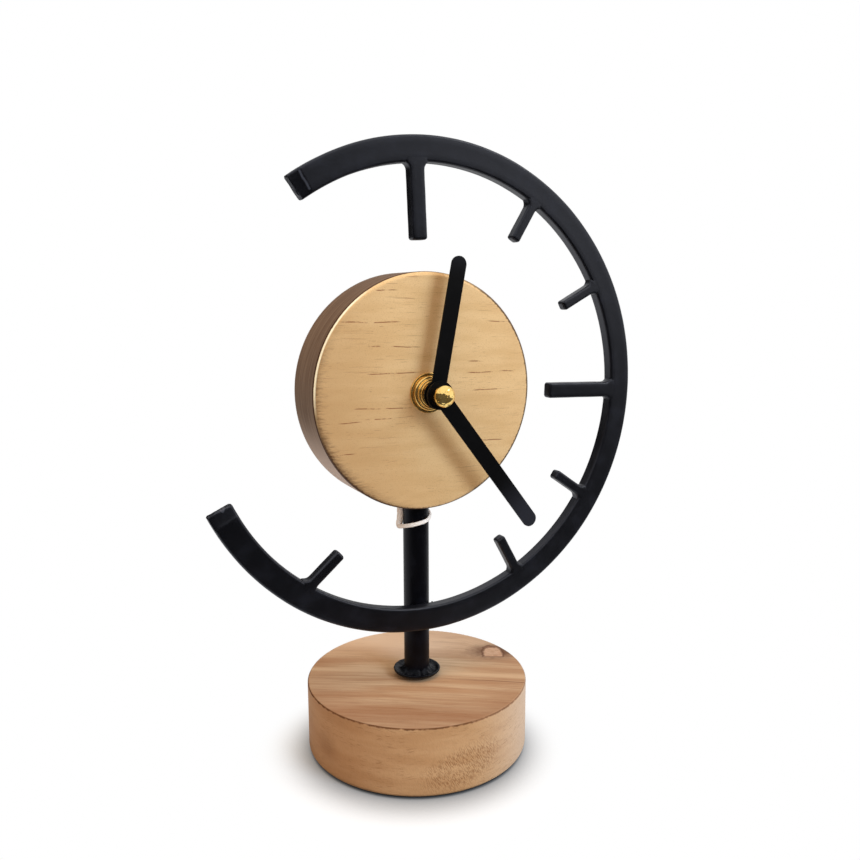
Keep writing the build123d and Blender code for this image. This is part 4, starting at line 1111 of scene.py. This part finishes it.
def hour_ring():
    """A bar bent to an open ring, a little uneven, with rough ends that are ground back at the front."""
    corner = 0.95 * MM
    sag = 0.10 * MM
    sag_length = 16 * MM
    ripple = 0.035 * MM
    ripple_length = 4 * MM
    burr_length = 1.3 * MM
    grind_depth = 1.1 * MM
    grind_length = 4.0 * MM
    grind_wave = 0.8 * MM
    grind_wave_length = 2.6 * MM
    grind_power = 0.7
    steps = 300
    end_steps = 14
    end_trim = math.radians(0.4)
    # The rough end from its middle outwards: share of the section, how far it stands out, and burr, in mm
    end_shape = [
        (0.03, 0.50, 0.30),
        (0.35, 0.45, 0.35),
        (0.62, 0.34, 0.40),
        (0.80, 0.16, 0.34),
        (0.92, 0.22, 0.30),
    ]
    depth = ring_high.y - ring_low.y
    mid_depth = (ring_high.y + ring_low.y) / 2
    mid_reach = RING_RADIUS - RING_BAR_WIDTH / 2
    outline = rounded_bar(RING_BAR_WIDTH, depth, corner)
    first = RING_START + end_trim
    last = RING_END - end_trim
    grind_turn = (grind_length + grind_wave) / mid_reach

    def ground_back(clock, across):
        to_end = min(clock - first, last - clock) * mid_reach
        wave = grind_wave * noise.noise(Vector((across / grind_wave_length, clock, 0.0)))
        share = min(max(1 - (to_end + wave) / grind_length, 0.0), 1.0)
        return grind_depth * share ** grind_power

    def section(clock, share=1.0, beyond=0.0, rough=0.0):
        ring = []
        for across, deep in outline:
            point = ring_point(clock, mid_reach + across * share, mid_depth + deep * share)
            dent = sag * (noise.noise(point / sag_length) - 1) / 2
            dent += ripple * (noise.noise(point / ripple_length) - 1) / 2
            outward = Vector((across * math.sin(clock), deep, across * math.cos(clock))).normalized()
            tangent = Vector((math.cos(clock), 0, -math.sin(clock)))
            burr = beyond + rough * noise.noise(point / burr_length)
            front = max(-deep, 0.0) / (depth / 2)
            back_off = Vector((0, ground_back(clock, across) * front * share, 0))
            ring.append(point + outward * dent * share + tangent * burr + back_off)
        return ring

    rings = []
    for share, beyond, rough in end_shape:
        rings.append(section(first, share, -beyond * MM, rough * MM))
    for step in range(end_steps):
        rings.append(section(first + grind_turn * step / end_steps))
    for step in range(steps + 1):
        clock = first + grind_turn + (last - first - 2 * grind_turn) * step / steps
        rings.append(section(clock))
    for step in range(1, end_steps + 1):
        rings.append(section(last - grind_turn + grind_turn * step / end_steps))
    for share, beyond, rough in reversed(end_shape):
        rings.append(section(last, share, beyond * MM, rough * MM))
    points, faces = loft(rings)
    return new_piece("hour_ring_bar", points, faces, RING_COAT, "stand", ["hour_ring"])


def bar_line(node):
    """Root, tip, direction across, width and depths of a marker, read from its solid's points."""
    points = [vertex.co.copy() for vertex in frame["nodes"][node].data.vertices]
    middle = sum(points, Vector()) / len(points)
    xx = sum((point.x - middle.x) ** 2 for point in points)
    zz = sum((point.z - middle.z) ** 2 for point in points)
    xz = sum((point.x - middle.x) * (point.z - middle.z) for point in points)
    angle = math.atan2(2 * xz, xx - zz) / 2
    along = Vector((math.cos(angle), 0, math.sin(angle)))
    across = Vector((-along.z, 0, along.x))
    if along.dot(middle - DIAL_MIDDLE) < 0:
        along = -along
    lengths = [along.dot(point - middle) for point in points]
    widths = [across.dot(point - middle) for point in points]
    mid_width = (max(widths) + min(widths)) / 2
    low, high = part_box(node)
    start = middle + across * mid_width
    start.y = 0
    root = start + along * max(lengths)
    tip = start + along * min(lengths)
    return root, tip, across, max(widths) - min(widths), low.y, high.y


def marker_bar(node):
    """A flat bar whose root flares into the ring in a filled weld and whose tip is dressed round."""
    corner = 0.85 * MM
    flare = 1.6 * MM
    flare_length = 2.8 * MM
    bury = 1.6 * MM
    tip_round = 1.0 * MM
    dent = 0.10 * MM
    dent_length = 5 * MM
    steps = 34
    tip_steps = 6
    root, tip, across, width, front, back = bar_line(node)
    inward = (tip - root).normalized()
    length = (tip - root).length
    mid_depth = (front + back) / 2
    depth = back - front
    outline = rounded_bar(width, depth, corner)

    def section(along, spread=0.0, shrink=1.0):
        ring = []
        for wide, deep in outline:
            reach = wide * shrink + math.copysign(spread, wide) * abs(wide) / (width / 2)
            point = root + inward * along + across * reach
            point.y = mid_depth + deep * shrink
            uneven = dent * (noise.noise(point / dent_length) - 1) / 2
            ring.append(point + across * math.copysign(uneven, wide) * shrink)
        return ring

    rings = []
    for step in range(steps + 1):
        along = -bury + (length - tip_round + bury) * step / steps
        share = max(0.0, 1 - max(along, 0.0) / flare_length)
        rings.append(section(along, flare * share * share * share))
    for step in range(1, tip_steps + 1):
        angle = math.radians(90 * step / tip_steps)
        shrink = 1 - (1 - math.cos(angle)) * tip_round / (width / 2)
        rings.append(section(length - tip_round * (1 - math.sin(angle)), 0.0, shrink))
    points, faces = loft(rings)
    return new_piece(node + "_bar", points, faces, BLACK_COAT, "stand", [node])


def foot():
    """The dished round foot: a raised lip over a dark underside, and a lumpy weld that rises to the post."""
    lump = 0.45 * MM
    lump_size = 1.6 * MM
    steps = 160
    # Radius and height in millimetres, and the share of the lumps
    outline_mm = [
        (4.60, 0.00, 0.00), (5.90, 0.00, 0.00), (7.00, 0.42, 0.05), (8.00, 1.05, 0.10), (8.75, 1.70, 0.15),
        (9.05, 2.10, 0.15), (9.12, 2.40, 0.15), (9.00, 2.66, 0.20), (8.75, 2.78, 0.25), (8.40, 2.70, 0.40),
        (7.90, 2.35, 0.60), (7.30, 2.05, 0.90), (6.70, 2.00, 1.00), (6.10, 2.20, 1.00), (5.60, 2.65, 1.00),
        (5.20, 3.20, 0.90), (4.95, 3.75, 0.70), (4.60, 3.90, 0.00),
    ]
    profile = [(radius * MM, height * MM, weight) for radius, height, weight in outline_mm]
    points, faces = turned(profile, (0, 0, FOOT_BOTTOM), (0, 0, 1), steps, lump, lump_size)
    return new_piece("foot_with_bead", points, faces, WELD_COAT, "stand", ["foot_flange"])


def ring_weld_beads():
    """Lumpy beads at both sides, where the ring's back meets the post."""
    steps = 40
    around = 20
    lump = 0.35 * MM
    lump_size = 1.4 * MM
    lump_sink = 0.6
    bead_half = 1.35 * MM
    depth_share = 0.9
    end_share = 0.03
    end_power = 0.35
    mid_depth = (weld_low.y + weld_high.y) / 2
    depth = (weld_high.y - weld_low.y) / 2
    height = weld_high.z - weld_low.z
    parts = []
    for side in (-1, 1):
        mid_across = side * (weld_high.x - weld_low.x) / 2 - side * bead_half
        rings = []
        for step in range(steps + 1):
            share = step / steps
            swell = math.sin(math.pi * min(max(share, end_share), 1 - end_share)) ** end_power
            ring = []
            for turn in range(around):
                angle = 2 * math.pi * turn / around
                point = Vector((mid_across + bead_half * swell * math.cos(angle),
                                mid_depth + depth * depth_share * swell * math.sin(angle),
                                weld_low.z + height * share))
                out = Vector((math.cos(angle), math.sin(angle), 0))
                ring.append(point + out * lump * (noise.noise(point / lump_size) - lump_sink))
            rings.append(ring)
        parts.append(loft(rings))
    points, faces = joined(parts)
    return new_piece("ring_weld_beads", points, faces, WELD_COAT, "stand", ["ring_weld"])


# String round the post
def route_line(name, route):
    """Points along the smooth line whose control points are the route."""
    steps_between = 16
    curve_order = 3
    curve = bpy.data.curves.new(name, "CURVE")
    curve.dimensions = "3D"
    curve.resolution_u = steps_between
    spline = curve.splines.new("NURBS")
    spline.points.add(len(route) - 1)
    for point, place in zip(spline.points, route):
        point.co = (*place, 1.0)
    spline.order_u = curve_order
    spline.use_endpoint_u = True
    line = bpy.data.objects.new(name, curve)
    bpy.context.scene.collection.objects.link(line)
    bpy.context.view_layer.update()
    mesh = bpy.data.meshes.new_from_object(line)
    points = [vertex.co.copy() for vertex in mesh.vertices]
    bpy.data.meshes.remove(mesh)
    bpy.data.objects.remove(line)
    bpy.data.curves.remove(curve)
    return points


def yarn_bundle(points, width, yarns, around=10):
    """Soft yarns laid loosely round one another along a line, pressed flat at first and loose after."""
    yarn_share = 0.25
    yarn_radius = width * yarn_share
    wind = width / 2 - yarn_radius
    pitch = 15 * MM
    pressed_depth, pressed_height = 0.6, 0.74
    loose_depth, loose_height = 1.22, 1.0
    loose_from = 0.60
    loose_at = 0.74
    wave = 0.05 * MM
    wave_length = 1.7 * MM
    stray_seed = 5
    noise.seed_set(stray_seed)
    travelled = [0.0]
    for before, after in zip(points, points[1:]):
        travelled.append(travelled[-1] + (after - before).length)
    parts = []
    for yarn in range(yarns):
        rings = []
        for index, point in enumerate(points):
            before = points[max(index - 1, 0)]
            after = points[min(index + 1, len(points) - 1)]
            ahead = (after - before).normalized()
            out = Vector((point.x, point.y, 0)).normalized()
            across = ahead.cross(out).normalized()
            out = across.cross(ahead)
            twist = 2 * math.pi * (travelled[index] / pitch + yarn / yarns)
            gone = travelled[index] / travelled[-1]
            loose = min(max((gone - loose_from) / (loose_at - loose_from), 0.0), 1.0)
            thick = out * (pressed_depth + (loose_depth - pressed_depth) * loose)
            wide = across * (pressed_height + (loose_height - pressed_height) * loose)
            stray = noise.noise_vector(point / wave_length + Vector((yarn, 0, 0))) * wave
            middle = point + (thick * math.cos(twist) + wide * math.sin(twist)) * wind + stray
            ring = []
            for step in range(around):
                turn = 2 * math.pi * step / around
                ring.append(middle + (thick * math.cos(turn) + wide * math.sin(turn)) * yarn_radius)
            rings.append(ring)
        parts.append(loft(rings))
    return joined(parts)


def string_knot():
    """A small overhand knot behind the post that closes the loop."""
    steps = 90
    around = 10
    unit = 0.42 * MM
    yarn_radius = 0.55 * MM
    flat = 0.8
    middle = (STRING_ROUTE[0] + STRING_ROUTE[-1]) / 2
    line = []
    for step in range(steps):
        turn = 2 * math.pi * step / steps
        across = (math.sin(turn) + 2 * math.sin(2 * turn)) * unit
        tall = (math.cos(turn) - 2 * math.cos(2 * turn)) * unit
        deep = -math.sin(3 * turn) * unit * flat
        line.append(middle + Vector((across, deep, tall)))
    rings = []
    for step, point in enumerate(line):
        ahead = (line[(step + 1) % steps] - line[step - 1]).normalized()
        side = ahead.cross(Vector((0, 1, 0))).normalized()
        other = ahead.cross(side)
        ring = []
        for turn in range(around):
            angle = 2 * math.pi * turn / around
            ring.append(point + (side * math.cos(angle) + other * math.sin(angle)) * yarn_radius)
        rings.append(ring)
    points, faces = loft(rings, closed=True)
    return new_piece("string_knot", points, faces, COTTON, "stand")


def tag_string():
    """The string's yarns along its route, and its knot."""
    line = route_line("string_route", STRING_ROUTE)
    points, faces = yarn_bundle(line, STRING_WIDTH, STRING_YARNS)
    string = new_piece("post_string", points, faces, COTTON, "stand", ["tag_string"])
    knot = string_knot()


# Mark on the back cover
def raised_strip(outline, deep_from, deep_to):
    """A flat shape on the back, from points (x, z), standing out along Y."""
    rings = [[Vector((x, deep, z)) for x, z in outline] for deep in (deep_from, deep_to)]
    return loft(rings)


def cover_marks():
    """A bent arrow round the setting knob."""
    sunk = 0.15 * MM
    proud = 0.25 * MM
    arrow_inner = 8.6 * MM
    arrow_outer = 9.6 * MM
    arrow_from = math.radians(35)
    arrow_to = math.radians(130)
    head_turn = math.radians(12)
    head_overhang = 0.8 * MM
    steps = 24
    deep_from = COVER_BACK - sunk
    deep_to = COVER_BACK + proud
    turns = [arrow_from + (arrow_to - arrow_from) * step / steps for step in range(steps + 1)]
    parts = []

    def by_knob(angle, reach):
        return (KNOB_MIDDLE.x + reach * math.cos(angle), KNOB_MIDDLE.z + reach * math.sin(angle))

    for first, second in zip(turns, turns[1:]):
        outline = [by_knob(first, arrow_inner), by_knob(second, arrow_inner),
                   by_knob(second, arrow_outer), by_knob(first, arrow_outer)]
        parts.append(raised_strip(outline, deep_from, deep_to))
    outline = [by_knob(arrow_to, arrow_inner - head_overhang), by_knob(arrow_to, arrow_outer + head_overhang),
               by_knob(arrow_to + head_turn, (arrow_inner + arrow_outer) / 2)]
    parts.append(raised_strip(outline, deep_from, deep_to))
    points, faces = joined(parts)
    new_piece("setting_arrow", points, faces, CASE_PLASTIC, "stand")


# Stage
def floor_finish():
    """A pale floor that keeps the shadow near the clock, with a painted contact shadow from ambient occlusion in
    its colour and glow, and goes over into the white behind it.
    """
    material = bpy.data.materials.new("floor_finish")
    tree = blank_tree(material)
    paper_grey = linear(196, 205, 216)
    painted_shadow_grey = linear(34, 37, 42)
    white_colour = (1.0, 1.0, 1.0, 1.0)
    near = 0.036
    far = 0.062
    lift = 0.45
    nearby = 0.018
    contact_power = 1.7
    contact_samples = 16
    shadow_middle = (-0.0062, -0.0086, 0.0)
    point = put(tree, "ShaderNodeTexCoord").outputs["Object"]
    reach = length_of(tree, difference(tree, point, shadow_middle))
    seen = seen_rays(tree)
    whitened = times(tree, band(tree, reach, near, far), seen)
    # Painted contact shadow: ambient occlusion darkens the floor's colour and its glow near the base
    openness = put(tree, "ShaderNodeAmbientOcclusion", {"Distance": nearby}, samples=contact_samples)
    unshadowed_share = count(tree, "POWER", openness.outputs["AO"], contact_power)
    shade = tint(tree, unshadowed_share, painted_shadow_grey, paper_grey)
    paper = put(tree, "ShaderNodeBsdfDiffuse", {"Color": shade}).outputs["BSDF"]
    lifted = times(tree, times(tree, seen, lift), unshadowed_share)
    glow = put(tree, "ShaderNodeEmission", {"Strength": lifted}).outputs["Emission"]
    lit_paper = put(tree, "ShaderNodeAddShader", {0: paper, 1: glow}).outputs["Shader"]
    white = put(tree, "ShaderNodeEmission", {"Color": white_colour, "Strength": 1.0}).outputs["Emission"]
    mixed = put(tree, "ShaderNodeMixShader", {0: whitened, 1: lit_paper, 2: white}).outputs["Shader"]
    put(tree, "ShaderNodeOutputMaterial", {"Surface": mixed})
    return material


def stage_piece(name, points, faces, material):
    """A mesh that isn't part of the object."""
    mesh = bpy.data.meshes.new(name)
    mesh.from_pydata(points, [], faces)
    mesh.materials.append(material)
    piece = bpy.data.objects.new(name, mesh)
    bpy.context.scene.collection.objects.link(piece)
    return piece


def lay_floor():
    half = 6.0
    corners = [(-half, -half, 0), (half, -half, 0), (half, half, 0), (-half, half, 0)]
    stage_piece("floor", corners, [(0, 1, 2, 3)], floor_finish())


def light_panel(name, place, size, power, colour, in_shine=False):
    """A soft panel aimed at the dial, which shiny pieces mirror only if it is in the shine."""
    lamp = bpy.data.lights.new(name, "AREA")
    lamp.shape = "RECTANGLE"
    lamp.size, lamp.size_y = size
    lamp.energy = power
    lamp.color = colour
    panel = bpy.data.objects.new(name, lamp)
    bpy.context.scene.collection.objects.link(panel)
    panel.location = place
    panel.rotation_mode = "QUATERNION"
    panel.rotation_quaternion = (DIAL_MIDDLE - Vector(place)).to_track_quat("-Z", "Y")
    panel.visible_glossy = in_shine


def light_room():
    """A cool key from the front right, warm light from above and all round, a weak panel at the left and a
    small one whose spark the brass shows, before a white that the camera sees."""
    ambient = 0.50
    warm = (1.0, 0.72, 0.48)
    cool = (0.66, 0.84, 1.0)
    soft_white = (1.0, 0.95, 0.9)
    spark_white = (1.0, 0.97, 0.9)
    white = (1.0, 1.0, 1.0, 1.0)
    world = bpy.data.worlds.new("studio")
    bpy.context.scene.world = world
    tree = blank_tree(world)
    seen = seen_rays(tree)
    level = between(tree, seen, ambient, 1.0)
    colour = tint(tree, seen, (*warm, 1.0), white)
    background = put(tree, "ShaderNodeBackground", {"Color": colour, "Strength": level}).outputs["Background"]
    put(tree, "ShaderNodeOutputWorld", {"Surface": background})
    light_panel("key_panel", (0.42, -0.92, 0.58), size=(0.44, 0.44), power=9.8, colour=cool)
    light_panel("top_panel", (-0.15, -0.25, 1.15), size=(0.9, 0.9), power=6.7, colour=warm)
    light_panel("left_panel", (-0.95, -0.35, 0.45), size=(0.4, 0.8), power=1.3, colour=soft_white)
    light_panel("spark_panel", (0.60, -0.47, 0.77), size=(0.24, 0.18), power=1.2, colour=spark_white,
                in_shine=True)


def dark_card():
    """Dark sheets on the floor in front, at the front, the left and the back, that only shine shows."""
    card_colour = linear(24, 24, 25)
    material, tree, shader = blank_material("card_grey")
    feed(tree, shader, base_color=card_colour, roughness=1.0, specular_ior_level=0.0)
    left = -1.4
    right = 1.1
    near = -0.07
    front = -0.85
    back = 0.9
    low = 0.002
    front_left_top = 0.75
    back_left_top = 0.9
    back_right = 0.9
    # Outlines of the front and back sheets: across and height
    front_edge = [(left, low), (right, low), (right, 0.20), (0.60, 0.14), (0.45, 0.43), (0.2, 0.52),
                  (left, front_left_top)]
    back_edge = [(left, low), (left, back_left_top), (-0.1, 0.7), (0.2, 0.6), (0.4, 0.3), (back_right, 0.22),
                 (back_right, low)]
    sheets = [
        [(left, near, low), (right, near, low), (right, front, low), (left, front, low)],
        [(across, front, high) for across, high in front_edge],
        [(left, front, low), (left, back, low), (left, back, back_left_top), (left, front, front_left_top)],
        [(across, back, high) for across, high in back_edge],
    ]
    points, faces = joined([(sheet, [tuple(range(len(sheet)))]) for sheet in sheets])
    card = stage_piece("dark_card", points, faces, material)
    card.visible_camera = False
    card.visible_diffuse = False
    card.visible_shadow = False
    card.visible_transmission = False


place_camera()
dress_solids()
tag_string()
hour_ring()
for marker in MARKERS:
    marker_bar(marker)
foot()
ring_weld_beads()
cover_marks()
for nodes, width in SOFT_EDGES:
    for node in nodes:
        soften_edges(node, width)
lay_floor()
light_room()
dark_card()
bpy.context.scene.view_settings.view_transform = "Standard"
